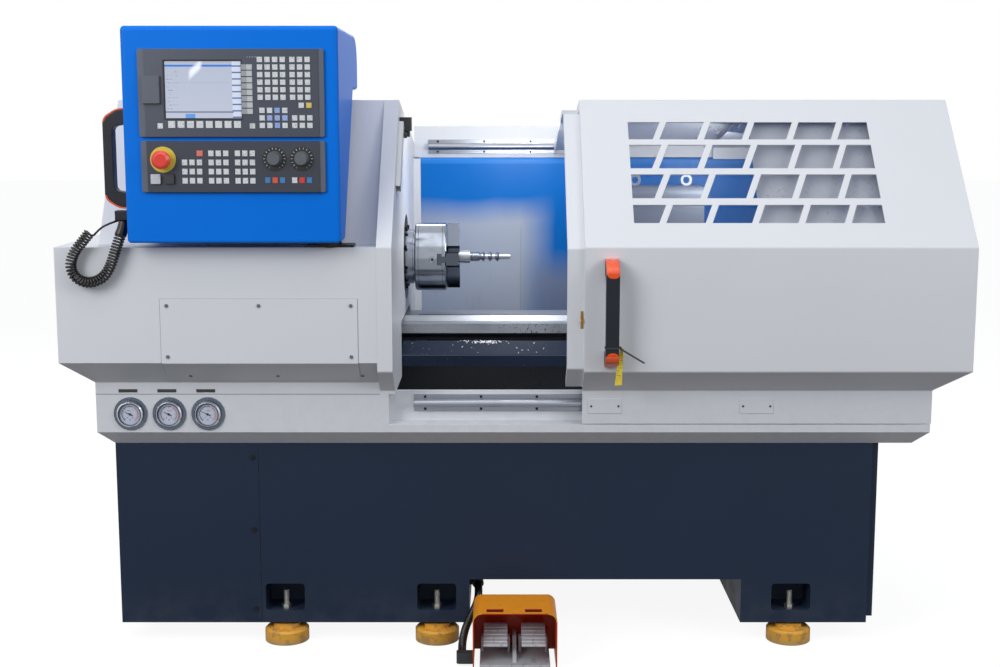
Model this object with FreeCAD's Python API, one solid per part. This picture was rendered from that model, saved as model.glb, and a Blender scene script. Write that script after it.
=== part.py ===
import FreeCAD, Part
import math
import os

os.makedirs("parts", exist_ok=True)

# Driving sizes in millimetres.
# Here X runs along the bed to the tailstock end, Y runs to the back from the
# door's front face, and Z runs up from the floor. The model is shifted to the
# middle of its footprint when it is written out.

# heights, each measured from the one below
foot_height = 54.0
pedestal_height = 503.0
tray_height = 140.0
tray_bevel = 37.0
tray_floor = 18.0
tray_wall = 12.0
bed_height = 260.0
swing_radius = 180.0

# lengths along the machine
tray_left = -1072.0
tray_right = 1144.0
head_cover_left = -1142.0
head_hood_left = -1050.0
column_left = -318.0
column_right = -278.0
stile_left = 174.0
hood_left = 218.0
hood_right = 1225.0
guard_left = 680.0
guard_right = tray_right - 2.0

# depths
tray_front = 80.0
tray_back = 1075.0
head_cover_back = tray_back - 15.0
spindle_y = 595.0
beam_depth = 35.0
wall_y = tray_back - 90.0
wall_inset = 16.0

# sheet metal
sheet = 3.0
bend = 8.0
slide_gap = 0.3
run_fit = 0.05

# covers, one outline for the door, the column and the fixed guard
skirt_rise = 10.0
skirt_bevel_rise = 63.0
front_height = 324.0
slope_rise = 378.0
slope_run = 340.0
roof_fall = 119.0

pedestal_top = foot_height + pedestal_height
tray_top = pedestal_top + tray_height
floor_top = pedestal_top + tray_floor
way_top = floor_top + bed_height
spindle_z = way_top + swing_radius
front_bottom = tray_top + skirt_rise + skirt_bevel_rise
waist = front_bottom + front_height
crown = waist + slope_rise

# guide rails of the door
rail_recess = 55.0
rail_width = 45.0
rail_flange = 6.0
rail_rise = 20.0
rail_radius = 10.0
rail_neck = 8.0
rail_left = -231.0
rail_right = guard_right - 42.0
rail_pitch = 150.0
rail_bolt_radius = 4.0
rail_bolt_height = 3.0
block_height = 52.0
block_length = 56.0
block_width = 52.0
block_at = (278.0, 681.0)
rail_face = tray_front + rail_recess
front_rail_z = 665.0
rear_rail_z = 1331.0
beam_bottom = 1296.0
beam_height = 100.0
beam_face = tray_back - beam_depth
roof_end = beam_face - block_height
apron_height = 90.0
apron_bottom = tray_top + skirt_rise - apron_height


def at(a, b, plane, level):
    """A point of a flat outline, placed in the named plane."""
    if plane == "yz":
        return FreeCAD.Vector(level, a, b)
    if plane == "xz":
        return FreeCAD.Vector(a, level, b)
    return FreeCAD.Vector(a, b, level)


def outline(points, radii, plane, level):
    """A closed face with straight sides and tangent arcs at its corners."""
    count = len(points)
    if not isinstance(radii, (list, tuple)):
        radii = [radii] * count
    starts = []
    for i in range(count):
        before = FreeCAD.Vector(*points[i - 1], 0)
        here = FreeCAD.Vector(*points[i], 0)
        after = FreeCAD.Vector(*points[(i + 1) % count], 0)
        back = (before - here).normalize()
        on = (after - here).normalize()
        cos_turn = max(-1.0, min(1.0, back.dot(on)))
        half = math.acos(cos_turn) / 2
        if radii[i] <= 0 or half > math.pi / 2 - 1e-6:
            starts.append((here, None, here))
            continue
        reach = radii[i] / math.tan(half)
        middle = (back + on).normalize()
        centre = here + middle * (radii[i] / math.sin(half))
        starts.append((here + back * reach, centre - middle * radii[i], here + on * reach))
    edges = []
    for i in range(count):
        first, mid, last = starts[i]
        following = starts[(i + 1) % count][0]
        if mid is not None:
            arc = Part.Arc(
                at(first.x, first.y, plane, level),
                at(mid.x, mid.y, plane, level),
                at(last.x, last.y, plane, level),
            )
            edges.append(arc.toShape())
        if last.distanceToPoint(following) > 1e-6:
            edges.append(Part.makeLine(at(last.x, last.y, plane, level), at(following.x, following.y, plane, level)))
    return Part.Face(Part.Wire(edges))


def along_x(points, x0, x1, radii=0):
    return outline(points, radii, "yz", x0).extrude(FreeCAD.Vector(x1 - x0, 0, 0))


def along_y(points, y0, y1, radii=0):
    return outline(points, radii, "xz", y0).extrude(FreeCAD.Vector(0, y1 - y0, 0))


def along_z(points, z0, z1, radii=0):
    return outline(points, radii, "xy", z0).extrude(FreeCAD.Vector(0, 0, z1 - z0))


def box(x0, x1, y0, y1, z0, z1):
    return Part.makeBox(x1 - x0, y1 - y0, z1 - z0, FreeCAD.Vector(x0, y0, z0))


def rectangle(a0, a1, b0, b1):
    return [(a0, b0), (a1, b0), (a1, b1), (a0, b1)]


def rod_x(x0, x1, radius, y, z):
    return Part.makeCylinder(radius, x1 - x0, FreeCAD.Vector(x0, y, z), FreeCAD.Vector(1, 0, 0))


def rod_y(y0, y1, radius, x, z):
    return Part.makeCylinder(radius, y1 - y0, FreeCAD.Vector(x, y0, z), FreeCAD.Vector(0, 1, 0))


def rod_z(z0, z1, radius, x, y):
    return Part.makeCylinder(radius, z1 - z0, FreeCAD.Vector(x, y, z0), FreeCAD.Vector(0, 0, 1))


def turned_x(profile, y, z):
    """A turned piece about an axis along X, from (x, radius) points."""
    points = [FreeCAD.Vector(x, y, z + r) for x, r in profile]
    points.append(FreeCAD.Vector(profile[-1][0], y, z))
    points.append(FreeCAD.Vector(profile[0][0], y, z))
    points.append(points[0])
    face = Part.Face(Part.makePolygon(points))
    return face.revolve(FreeCAD.Vector(0, y, z), FreeCAD.Vector(1, 0, 0), 360)


def turned_y(profile, x, z):
    """A turned piece about an axis along Y, from (y, radius) points."""
    points = [FreeCAD.Vector(x, y, z + r) for y, r in profile]
    points.append(FreeCAD.Vector(x, profile[-1][0], z))
    points.append(FreeCAD.Vector(x, profile[0][0], z))
    points.append(points[0])
    face = Part.Face(Part.makePolygon(points))
    return face.revolve(FreeCAD.Vector(x, 0, z), FreeCAD.Vector(0, 1, 0), 360)


def hexagon_y(y0, y1, radius, x, z):
    corners = []
    for i in range(6):
        turn = math.radians(60 * i)
        corners.append((x + radius * math.cos(turn), z + radius * math.sin(turn)))
    return along_y(corners, y0, y1)


def hexagon_x(x0, x1, radius, y, z):
    corners = []
    for i in range(6):
        turn = math.radians(60 * i)
        corners.append((y + radius * math.cos(turn), z + radius * math.sin(turn)))
    return along_x(corners, x0, x1)


def hexagon_z(z0, z1, radius, x, y):
    corners = []
    for i in range(6):
        turn = math.radians(60 * i)
        corners.append((x + radius * math.cos(turn), y + radius * math.sin(turn)))
    return along_z(corners, z0, z1)


def shifted(path, distance):
    """An open path moved sideways, to the right of its direction, with mitred corners."""
    normals = []
    for i in range(len(path) - 1):
        along = FreeCAD.Vector(path[i + 1][0] - path[i][0], path[i + 1][1] - path[i][1], 0).normalize()
        normals.append(FreeCAD.Vector(along.y, -along.x, 0))
    moved = []
    for i in range(len(path)):
        before = normals[max(i - 1, 0)]
        after = normals[min(i, len(normals) - 1)]
        mitre = (before + after) * (1.0 / (1.0 + before.dot(after)))
        moved.append((path[i][0] + mitre.x * distance, path[i][1] + mitre.y * distance))
    return moved


def folded(path, thick, x0, x1, radius=bend):
    """A folded sheet: an open path along X, thickened to the right of its direction."""
    inner = shifted(path, thick)
    near = [0.0] * len(path)
    far = [0.0] * len(path)
    for i in range(1, len(path) - 1):
        first = (path[i][0] - path[i - 1][0], path[i][1] - path[i - 1][1])
        then = (path[i + 1][0] - path[i][0], path[i + 1][1] - path[i][1])
        turns_right = first[0] * then[1] - first[1] * then[0] < 0
        near[i] = radius if turns_right else max(radius - thick, 0.5)
        far[i] = max(radius - thick, 0.5) if turns_right else radius
    return along_x(path + inner[::-1], x0, x1, near + far[::-1])


def joined(shapes):
    """Overlapping shapes as one clean solid."""
    body = shapes[0].fuse(shapes[1:]) if len(shapes) > 1 else shapes[0]
    return body.removeSplitter()


def group(shapes):
    """Separate solids of like pieces."""
    return Part.makeCompound(shapes)


# Pedestal: a welded box on six levelling feet, with an arch between its legs.
pedestal_left = tray_left + tray_bevel
pedestal_right = 1003.0
pedestal_front = tray_front + tray_bevel
pedestal_back = tray_back - tray_bevel
arch_left = -84.0
arch_right = 658.0
arch_height = 122.0
foot_x = (-587.0, -173.0, 795.0)
foot_setback = 24.0
foot_window_width = 107.0
foot_window_height = 76.0
foot_window_depth = 95.0
foot_window_radius = 10.0
foot_ledge = 34.0
pad_radius = 60.0
pad_height = 38.0
pad_boss_radius = 36.0
pad_boss_height = 10.0
stud_radius = 8.0
stud_height = 92.0
stud_hole = 9.0
nut_radius = 13.0
nut_height = 12.0
panel_edge = -651.0
panel_recess = 3.0
panel_margin = 6.0
panel_screw_radius = 7.0
panel_screw_height = 3.0
end_panel_width = 19.0
end_panel_inset = 14.0


def foot_places():
    places = []
    for x in foot_x:
        places.append((x, pedestal_front + foot_setback, 1))
        places.append((x, pedestal_back - foot_setback, -1))
    return places


def pedestal():
    body = box(pedestal_left, pedestal_right, pedestal_front, pedestal_back, foot_height, pedestal_top)
    cuts = [box(arch_left, arch_right, pedestal_front, pedestal_back, foot_height, foot_height + arch_height)]
    ledge = foot_height + foot_ledge
    half = foot_window_width / 2
    for x, y, side in foot_places():
        window = rectangle(x - half, x + half, ledge, ledge + foot_window_height)
        face_y = pedestal_front if side > 0 else pedestal_back - foot_window_depth
        cuts.append(along_y(window, face_y, face_y + foot_window_depth, foot_window_radius))
        cuts.append(rod_z(foot_height, ledge + 1, stud_hole, x, y))
    cuts.append(
        box(
            pedestal_left,
            panel_edge,
            pedestal_front,
            pedestal_front + panel_recess,
            foot_height + panel_margin,
            pedestal_top - panel_margin,
        )
    )
    return body.cut(cuts)


def pedestal_panel():
    """The access panel at the left of the pedestal, let into its face."""
    gap = 1.0
    return box(
        pedestal_left,
        panel_edge - gap,
        pedestal_front,
        pedestal_front + panel_recess,
        foot_height + panel_margin,
        pedestal_top - panel_margin,
    )


def pedestal_end_panel():
    inset = end_panel_inset
    return box(
        pedestal_right,
        pedestal_right + end_panel_width,
        pedestal_front + inset,
        pedestal_back - inset,
        foot_height + inset,
        pedestal_top,
    )


def button_screw(x, y, z, radius, height):
    """A screw head on a face that looks to the front."""
    return hexagon_y(y - height, y, radius, x, z)


def pedestal_screws():
    x = panel_edge - 16.0
    heights = (foot_height + 38.0, foot_height + pedestal_height * 0.52, pedestal_top - 40.0)
    return group([button_screw(x, pedestal_front, z, panel_screw_radius, panel_screw_height) for z in heights])


def foot_pads():
    pads = []
    for x, y, side in foot_places():
        disc = rod_z(0, pad_height, pad_radius, x, y)
        edge = [e for e in disc.Edges if abs(e.BoundBox.ZMin - pad_height) < 0.01 and e.Length > pad_radius]
        disc = disc.makeChamfer(6.0, edge[:1])
        boss = rod_z(pad_height - 1, pad_height + pad_boss_height, pad_boss_radius, x, y)
        pads.append(joined([disc, boss]))
    return group(pads)


def foot_studs():
    studs = []
    ledge = foot_height + foot_ledge
    base = pad_height + pad_boss_height
    for x, y, side in foot_places():
        stud = rod_z(base, base + stud_height, stud_radius, x, y)
        lock = hexagon_z(ledge, ledge + nut_height, nut_radius, x, y)
        studs.append(joined([stud, lock]))
    return group(studs)


# Tray: a deep pan with a bevelled underside, a step in front for the door's rail.
recess_left = -295.0
recess_floor = 58.0


def bevelled_block(x0, x1, y0, y1, z0, z1, bevel):
    """A block whose lower edges slope in on all four sides."""
    side = [(y0, z1), (y0, z0 + bevel), (y0 + bevel, z0), (y1 - bevel, z0), (y1, z0 + bevel), (y1, z1)]
    front = [(x0, z1), (x0, z0 + bevel), (x0 + bevel, z0), (x1 - bevel, z0), (x1, z0 + bevel), (x1, z1)]
    return along_x(side, x0, x1).common(along_y(front, y0, y1))


def tray():
    pan = bevelled_block(tray_left, tray_right, tray_front, tray_back, pedestal_top, tray_top, tray_bevel)
    pocket = box(
        tray_left + tray_wall,
        tray_right - tray_wall,
        rail_face + tray_wall,
        tray_back - tray_wall,
        floor_top,
        tray_top,
    )
    step = box(recess_left, tray_right, tray_front, rail_face, pedestal_top + recess_floor, tray_top)
    return pan.cut([pocket, step])


# Gauges on the tray's front.
gauge_pitch = 103.0
gauge_first_x = -981.0
gauge_count = 3
gauge_z = 645.0
gauge_flange_radius = 44.5
gauge_flange = 3.0
gauge_case_radius = 35.0
gauge_case_height = 12.0
gauge_dial_radius = 29.0
gauge_dial_depth = 6.0
gauge_screw_radius = 3.0
gauge_screw_circle = 39.5
needle_length = 22.0
needle_width = 3.0
needle_thick = 0.8
needle_hub = 3.5
needle_angle = 155.0


def gauge_x(i):
    return gauge_first_x + gauge_pitch * i


def gauge_needle(x, rim):
    """A tapered pointer on the dial's middle pin."""
    face = rim + gauge_dial_depth - 1.0 - needle_thick
    turn = math.radians(needle_angle)
    hub = hexagon_y(face, rim + gauge_dial_depth + 1, needle_hub, x, gauge_z)
    tip = (x + needle_length * math.cos(turn), gauge_z + needle_length * math.sin(turn))
    side = (needle_width / 2 * math.sin(turn), -needle_width / 2 * math.cos(turn))
    tail = (x - 8.0 * math.cos(turn), gauge_z - 8.0 * math.sin(turn))
    blade = [tip, (tail[0] + side[0], tail[1] + side[1]), (tail[0] - side[0], tail[1] - side[1])]
    return hub.fuse(along_y(blade, face, face + needle_thick))


def gauge_cases():
    cases = []
    for i in range(gauge_count):
        x = gauge_x(i)
        rim = tray_front - gauge_flange - gauge_case_height
        body = turned_y(
            [
                (rim, gauge_dial_radius + 2.0),
                (rim, gauge_case_radius - 3.0),
                (rim + 3.0, gauge_case_radius),
                (tray_front - gauge_flange, gauge_case_radius),
                (tray_front - gauge_flange, gauge_flange_radius),
                (tray_front, gauge_flange_radius),
            ],
            x,
            gauge_z,
        )
        well = rod_y(rim - 1, rim + gauge_dial_depth, gauge_dial_radius, x, gauge_z)
        parts = [body.cut(well), gauge_needle(x, rim)]
        for k in range(3):
            turn = math.radians(90 + 120 * k)
            sx = x + gauge_screw_circle * math.cos(turn)
            sz = gauge_z + gauge_screw_circle * math.sin(turn)
            screw_top = tray_front - gauge_flange - 2.0
            parts.append(hexagon_y(screw_top, tray_front - 1, gauge_screw_radius, sx, sz))
        cases.append(joined(parts))
    return group(cases)


# Covers.
column_path = [
    (tray_front, tray_top),
    (tray_front, tray_top + skirt_rise),
    (0.0, front_bottom),
    (0.0, waist),
    (slope_run, crown),
    (beam_face, crown - roof_fall * (beam_face - slope_run) / (roof_end - slope_run)),
    (beam_face, tray_top),
]
spindle_opening = 125.0
bed_opening_front = 350.0
bed_opening_back = 760.0
bed_opening_top = 20.0
rear_panel_y = tray_back - sheet


def column():
    """The headstock's side wall with the door post folded round its edge."""
    band = folded(column_path[:-1], sheet, column_left, column_right)
    plate = along_x(column_path, column_right - sheet, column_right, [0, 0, bend, bend, bend, 0, 0])
    wall = joined([band, plate])
    hole = rod_x(column_right - 2 * sheet, column_right + 1, spindle_opening, spindle_y, spindle_z)
    gap = box(
        column_right - 2 * sheet,
        column_right + 1,
        bed_opening_front,
        bed_opening_back,
        tray_top - 1,
        way_top + bed_opening_top,
    )
    return wall.cut([hole, gap])


# headstock cover: the front box, and the hood set back behind its ledge
head_bevel_rise = 65.0
head_strip = 32.0
head_bevel_side = 70.0
ledge_depth = 88.0
head_slope_run = slope_run - ledge_depth


def head_block(inset):
    """The headstock cover's outer or inner block, with mitred bevels below."""
    low = tray_top - (1.0 if inset else 0.0)
    y0 = inset
    x0 = head_cover_left + inset
    top = waist - inset
    skirt_y = tray_front + inset
    skirt_x = tray_left + inset
    right = column_left + (1.0 if inset else 0.0)
    back = head_cover_back - inset
    strip_top = tray_top + head_strip
    bevel_top = strip_top + head_bevel_rise
    side = [(skirt_y, low), (skirt_y, strip_top), (y0, bevel_top), (y0, top), (back, top), (back, low)]
    front = [(skirt_x, low), (skirt_x, strip_top), (x0, bevel_top), (x0, top), (right, top), (right, low)]
    return along_x(side, x0, right).common(along_y(front, y0, back))


def headstock_cover():
    shell = head_block(0.0).cut(head_block(sheet))
    top_hole = box(
        head_hood_left + sheet,
        column_left + 1,
        ledge_depth + sheet,
        head_cover_back - sheet,
        waist - 2 * sheet,
        waist + 1,
    )
    return shell.cut(top_hole)


def headstock_hood():
    """The sloping upper hood behind the ledge, open below and at the column."""
    roof_rate = roof_fall / (roof_end - slope_run)
    back_z = crown - roof_rate * (head_cover_back - slope_run)
    path = [(ledge_depth, waist), (slope_run, crown), (head_cover_back, back_z), (head_cover_back, waist)]
    band = folded(path, sheet, head_hood_left, column_left)
    end = along_x(path, head_hood_left, head_hood_left + sheet, [0, bend, bend, 0])
    seat = box(head_hood_left - 1, column_left + 1, 0, head_cover_back + 1, waist - 10, waist)
    return joined([band, end]).cut(seat)


access_left = -875.0
access_right = -367.0
access_height = 167.0
access_sheet = 2.0
access_wrap = 0.86
access_screw_radius = 5.0
access_screw_height = 2.5
access_screw_inset = 17.0


def access_path():
    corner = tray_top + head_strip + head_bevel_rise
    drop = (tray_front * access_wrap, corner - head_bevel_rise * access_wrap)
    return [(0.0, corner + access_height), (0.0, corner), drop]


def access_panel():
    """The screwed panel that wraps from the front face on to the bevel."""
    return folded(access_path(), access_sheet, access_left, access_right, 3.0).cut(head_block(0.0))


def access_screws():
    corner = tray_top + head_strip + head_bevel_rise
    rows = (corner + access_screw_inset, corner + access_height - access_screw_inset)
    middle = (access_left + access_right) / 2
    columns = (access_left + access_screw_inset, middle, access_right - access_screw_inset)
    screws = []
    for z in rows:
        for x in columns:
            if z == rows[0] and x == middle:
                continue
            screws.append(button_screw(x, -access_sheet, z, access_screw_radius, access_screw_height))
    return group(screws)


# Door: a folded hood over the right half, with a welded frame at its left edge.
door_path = [
    (tray_front, apron_bottom),
    (tray_front, tray_top + skirt_rise),
    (0.0, front_bottom),
    (0.0, waist),
    (slope_run, crown),
    (roof_end, crown - roof_fall),
    (roof_end, crown - roof_fall - 55.0),
]
stile_step = 12.0
stile_depth = 30.0
stile_wrap = 30.0
notch_drop = 40.0
notch_back = 90.0
gusset_bottom = 1305.0
gusset_start = 440.0
bevel_cut = 83.0
window_left = 347.0
window_right = 997.0
window_rows = ((79.0, 139.0), (161.0, 242.0), (263.0, 345.0), (364.0, 426.0))
window_first = 332.0
window_pitch = 120.0
window_width = 102.0
window_lean = 0.364
window_count = 6
pane_thick = 4.0
pane_margin = 22.0
slope_length = math.hypot(slope_rise, slope_run)
slope_y = slope_run / slope_length
slope_z = slope_rise / slope_length


def on_slope(x, t, depth):
    """A point on the sloping face: t up the slope from the waist, depth below it."""
    return FreeCAD.Vector(x, t * slope_y + depth * slope_z, waist + t * slope_z - depth * slope_y)


def slope_prism(corners, depth0, depth1):
    points = [on_slope(x, t, depth0) for x, t in corners]
    face = Part.Face(Part.makePolygon(points + points[:1]))
    return face.extrude(on_slope(0, 0, depth1) - on_slope(0, 0, depth0))


def window_outline(row, k):
    low, high = row
    left_top = window_first + window_pitch * k
    right_top = left_top + window_width
    shift = window_lean * (high - low)
    left = [max(left_top - shift, window_left), max(left_top, window_left)]
    right = [min(right_top - shift, window_right), min(right_top, window_right)]
    return [(left[0], low), (right[0], low), (right[1], high), (left[1], high)]


def door_hood():
    shell = folded(door_path, sheet, hood_left, hood_right)
    cuts = []
    for row in window_rows:
        for k in range(window_count):
            cuts.append(slope_prism(window_outline(row, k), -bend, sheet + 1))
    corner = Part.makePolygon(
        [
            FreeCAD.Vector(hood_right - bevel_cut, tray_front + sheet + 1, tray_top - 200),
            FreeCAD.Vector(hood_right, -1, tray_top - 200),
            FreeCAD.Vector(hood_right + 1, tray_front + sheet + 1, tray_top - 200),
            FreeCAD.Vector(hood_right - bevel_cut, tray_front + sheet + 1, tray_top - 200),
        ]
    )
    cuts.append(Part.Face(corner).extrude(FreeCAD.Vector(0, 0, 200 + skirt_rise + skirt_bevel_rise - 1)))
    return shell.cut(cuts)


def door_frame():
    """The post at the door's leading edge, welded to a gusset below the roof."""
    path = door_path[1:6]
    outer_band = folded(shifted(path, stile_step), stile_depth - stile_step, stile_left, hood_left)
    notch = box(
        stile_left - 1,
        hood_left,
        slope_run - notch_drop,
        slope_run + notch_back,
        crown - notch_drop,
        crown + 1,
    )
    outer_band = outer_band.cut(notch)
    inner_band = folded(shifted(path, sheet), stile_depth - sheet, hood_left, hood_left + stile_wrap)
    inner_band = inner_band.cut(box(hood_left - 1, hood_left + stile_wrap + 1, roof_end - bend, roof_end + 40, waist, crown))
    inner_path = shifted(path, stile_step)
    fall = (inner_path[3][1] - inner_path[4][1]) / (inner_path[4][0] - inner_path[3][0])
    start_z = inner_path[3][1] - fall * (gusset_start - inner_path[3][0])
    gusset = along_x(
        [(gusset_start, start_z), inner_path[4], (inner_path[4][0], gusset_bottom)],
        stile_left,
        stile_left + sheet,
    )
    return joined([outer_band, inner_band, gusset, door_latch()])


def door_window():
    """The clear pane behind the slanted openings."""
    m = pane_margin
    low = window_rows[0][0] - m
    high = window_rows[-1][1] + m
    corners = [(window_left - m, low), (window_right + m, low), (window_right + m, high), (window_left - m, high)]
    return slope_prism(corners, sheet, sheet + pane_thick)


# door handle and console handle: one bridge shape, seen from its side
handle_length = 281.0
console_handle_length = 255.0
handle_reach = 62.0
handle_thick = 24.0
handle_width = 34.0
handle_foot = 40.0
handle_cap = 36.0
handle_cap_thick = 4.0
handle_shoulder = 24.0
handle_x = 286.0
handle_z = 925.0


def bridge(length):
    """The handle's side outline: feet at 0 and at length, with rounded shoulders."""
    foot = handle_foot
    reach = handle_reach
    inner = reach - handle_thick
    shoulder, shoulder_radii = bridge_outer(length, 0.0)
    return (
        shoulder + [(length - foot, 0.0), (length - foot - 8.0, inner), (foot + 8.0, inner), (foot, 0.0)],
        shoulder_radii + [2.0, 14.0, 14.0, 2.0],
    )


def bridge_outer(length, inset):
    """The handle's outer outline, moved in by inset."""
    far = length - inset
    top = handle_reach - inset
    middle = handle_reach * 0.45
    points = [
        (inset, 0.0),
        (inset + 3.0, middle),
        (inset + handle_shoulder, top),
        (far - handle_shoulder, top),
        (far - 3.0, middle),
        (far, 0.0),
    ]
    return points, [0.0, 38.0, 26.0 - inset, 26.0 - inset, 38.0, 0.0]


def split_handle(length, prism, ends, part):
    """The grip, or the two thin caps over its outer ends."""
    whole = prism(*bridge(length))
    caps = [whole.cut(prism(*bridge_outer(length, handle_cap_thick))).common(end) for end in ends]
    if part == "grip":
        return whole.cut(caps)
    return group(caps)


def door_handle_block(part):
    low = handle_z - handle_length / 2
    x0 = handle_x - handle_width / 2
    x1 = handle_x + handle_width / 2

    def prism(points, radii):
        return along_x([(-reach, low + along) for along, reach in points], x0, x1, radii)

    ends = [
        box(x0 - 1, x1 + 1, -handle_reach - 1, 1, low - 1, low + handle_cap),
        box(x0 - 1, x1 + 1, -handle_reach - 1, 1, low + handle_length - handle_cap, low + handle_length + 1),
    ]
    return split_handle(handle_length, prism, ends, part)


# carriages on the door's rails
def rail_bar(face_y, z, side):
    """A supported round rail on a face; side is -1 where it looks to the front."""
    half = rail_width / 2
    foot = [
        (face_y, z - half),
        (face_y + side * rail_flange, z - half),
        (face_y + side * rail_flange, z - rail_neck),
        (face_y + side * (rail_rise - 7.0), z - rail_neck / 2),
        (face_y + side * (rail_rise - 7.0), z + rail_neck / 2),
        (face_y + side * rail_flange, z + rail_neck),
        (face_y + side * rail_flange, z + half),
        (face_y, z + half),
    ]
    support = along_x(foot, rail_left, rail_right)
    bar = rod_x(rail_left, rail_right, rail_radius, face_y + side * rail_rise, z)
    return joined([support, bar])


def rail_bolts(face_y, z, side):
    bolts = []
    x = rail_left + 30.0
    offset = rail_width / 2 - rail_bolt_radius - 2.0
    near = face_y + side * rail_flange
    far = near + side * rail_bolt_height
    while x < rail_right:
        for dz in (-offset, offset):
            bolts.append(hexagon_y(min(near, far), max(near, far), rail_bolt_radius, x, z + dz))
        x += rail_pitch
    return group(bolts)


def rail_block(face_y, z, x):
    """An open bearing block that grips the round rail from the front."""
    near = face_y - rail_flange - 6.0
    far = face_y - block_height
    body = box(x - block_length / 2, x + block_length / 2, far, near, z - block_width / 2, z + block_width / 2)
    bore = rod_x(x - block_length, x + block_length, rail_radius + run_fit, face_y - rail_rise, z)
    slot = box(
        x - block_length,
        x + block_length,
        face_y - rail_rise,
        near + 1,
        z - rail_radius * 0.75,
        z + rail_radius * 0.75,
    )
    return body.cut([bore, slot])


def front_blocks():
    return group([rail_block(rail_face, front_rail_z, x) for x in block_at])


def rear_blocks():
    return group([rail_block(beam_face, rear_rail_z, x) for x in block_at])


plate_width = 90.0
plate_height = 40.0
plate_sheet = 1.5


def carriage_plates():
    """The small screwed plates in the apron over the front carriages."""
    half_w = plate_width / 2
    half_h = plate_height / 2
    z = front_rail_z
    plates = []
    for x in block_at:
        shape = along_y(
            rectangle(x - half_w, x + half_w, z - half_h, z + half_h),
            tray_front - plate_sheet,
            tray_front,
        )
        heads = [hexagon_y(tray_front - plate_sheet - 1.5, tray_front - plate_sheet + 0.5, 3.0, x + s, z) for s in (-36, 36)]
        plates.append(joined([shape] + heads))
    return group(plates)


latch_z = 905.0


def door_latch():
    """The small brass catch on the door post."""
    x = hood_left - 6.0
    y = stile_step
    plate = box(x - 2.5, x + 2.5, y - 1.5, y, latch_z - 21, latch_z + 21)
    knob = turned_y([(y - 13, 5.0), (y - 8, 5.0), (y - 7, 2.5), (y - 1, 2.5)], x, latch_z)
    return joined([plate, knob])


# fixed guard under the door, beam, back wall and panels
guard_front = 30.0
guard_skirt = rail_face + 3.0
guard_inset = 25.0
guard_drop = 18.0


def guard_path():
    inner = shifted(door_path, guard_inset)
    slope = inner[4]
    corner = (guard_front, inner[3][1])
    rear_y = roof_end - guard_inset
    rear_z = slope[1] - roof_fall * (rear_y - slope[0]) / (roof_end - slope_run)
    return [
        (guard_skirt, tray_top),
        (guard_skirt, tray_top + guard_drop),
        (guard_front, front_bottom + guard_inset),
        corner,
        slope,
        (rear_y, rear_z),
        (rear_y, beam_bottom - sheet),
    ]


def right_guard():
    """The fixed cover at the tailstock end, which the door slides over."""
    path = guard_path()
    band = folded(path, sheet, guard_left, guard_right)
    end = along_x(
        path + [(rear_panel_y, beam_bottom - sheet), (rear_panel_y, tray_top)],
        guard_right - sheet,
        guard_right,
        [0, 0, bend, bend, bend, bend, 0, 0, 0],
    )
    return joined([band, end])


def rear_beam():
    outer = box(column_right, guard_right - sheet, beam_face, tray_back, beam_bottom, beam_bottom + beam_height)
    hollow = box(
        column_right - 1,
        guard_right,
        beam_face + sheet,
        tray_back - sheet,
        beam_bottom + sheet,
        beam_bottom + beam_height - sheet,
    )
    return outer.cut(hollow)


def back_wall():
    path = [(wall_y, floor_top), (wall_y, beam_bottom), (tray_back - 2 * sheet, beam_bottom)]
    return folded(path, sheet, column_right + wall_inset, tray_right - tray_wall - slide_gap)


vent_left = 500.0
vent_width = 260.0
vent_height = 8.0
vent_rise = 120.0
vent_pitch = 26.0


def rear_panel():
    shape = box(column_left, guard_right - sheet, rear_panel_y, tray_back, tray_top, beam_bottom)
    vents = []
    for i in range(5):
        z = tray_top + vent_rise + vent_pitch * i
        vents.append(box(vent_left, vent_left + vent_width, rear_panel_y - 1, tray_back + 1, z, z + vent_height))
    return shape.cut(vents)


# Bed: a cast frame with a raised vee on the front way.
bed_left = -905.0
bed_right = guard_right - 62.0
bed_width = 300.0
way_thick = 28.0
way_overhang = 30.0
vee_height = 15.0
vee_at = 70.0
rib_pitch = 332.0
rib_thick = 32.0
rib_drop = 40.0
trough_front = 35.0
trough_back = 55.0
bed_front = spindle_y - bed_width / 2
bed_back = spindle_y + bed_width / 2


def bed_section(vee_gap=0.0):
    vee = bed_front + vee_at
    return [
        (bed_front, way_top),
        (vee - vee_height, way_top),
        (vee, way_top + vee_height),
        (vee + vee_height, way_top),
        (bed_back, way_top),
        (bed_back, way_top - way_thick),
        (bed_back - way_overhang, way_top - way_thick - 17.0),
        (bed_back - way_overhang, floor_top + 25.0),
        (bed_back, floor_top + 15.0),
        (bed_back, floor_top),
        (bed_front, floor_top),
        (bed_front, floor_top + 15.0),
        (bed_front + way_overhang, floor_top + 25.0),
        (bed_front + way_overhang, way_top - way_thick - 17.0),
        (bed_front, way_top - way_thick),
    ]


def bed():
    body = along_x(bed_section(), bed_left, bed_right)
    y0 = spindle_y - trough_front
    y1 = spindle_y + trough_back
    start = column_right + rib_thick
    cuts = [box(start, bed_right - rib_thick, y0, y1, way_top - rib_drop, way_top + 1)]
    x = start
    while x + rib_pitch < bed_right:
        cuts.append(box(x, x + rib_pitch - rib_thick, y0, y1, floor_top + 25.0, way_top))
        x += rib_pitch
    return joined([body.cut(cuts)] + screw_supports())


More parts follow.
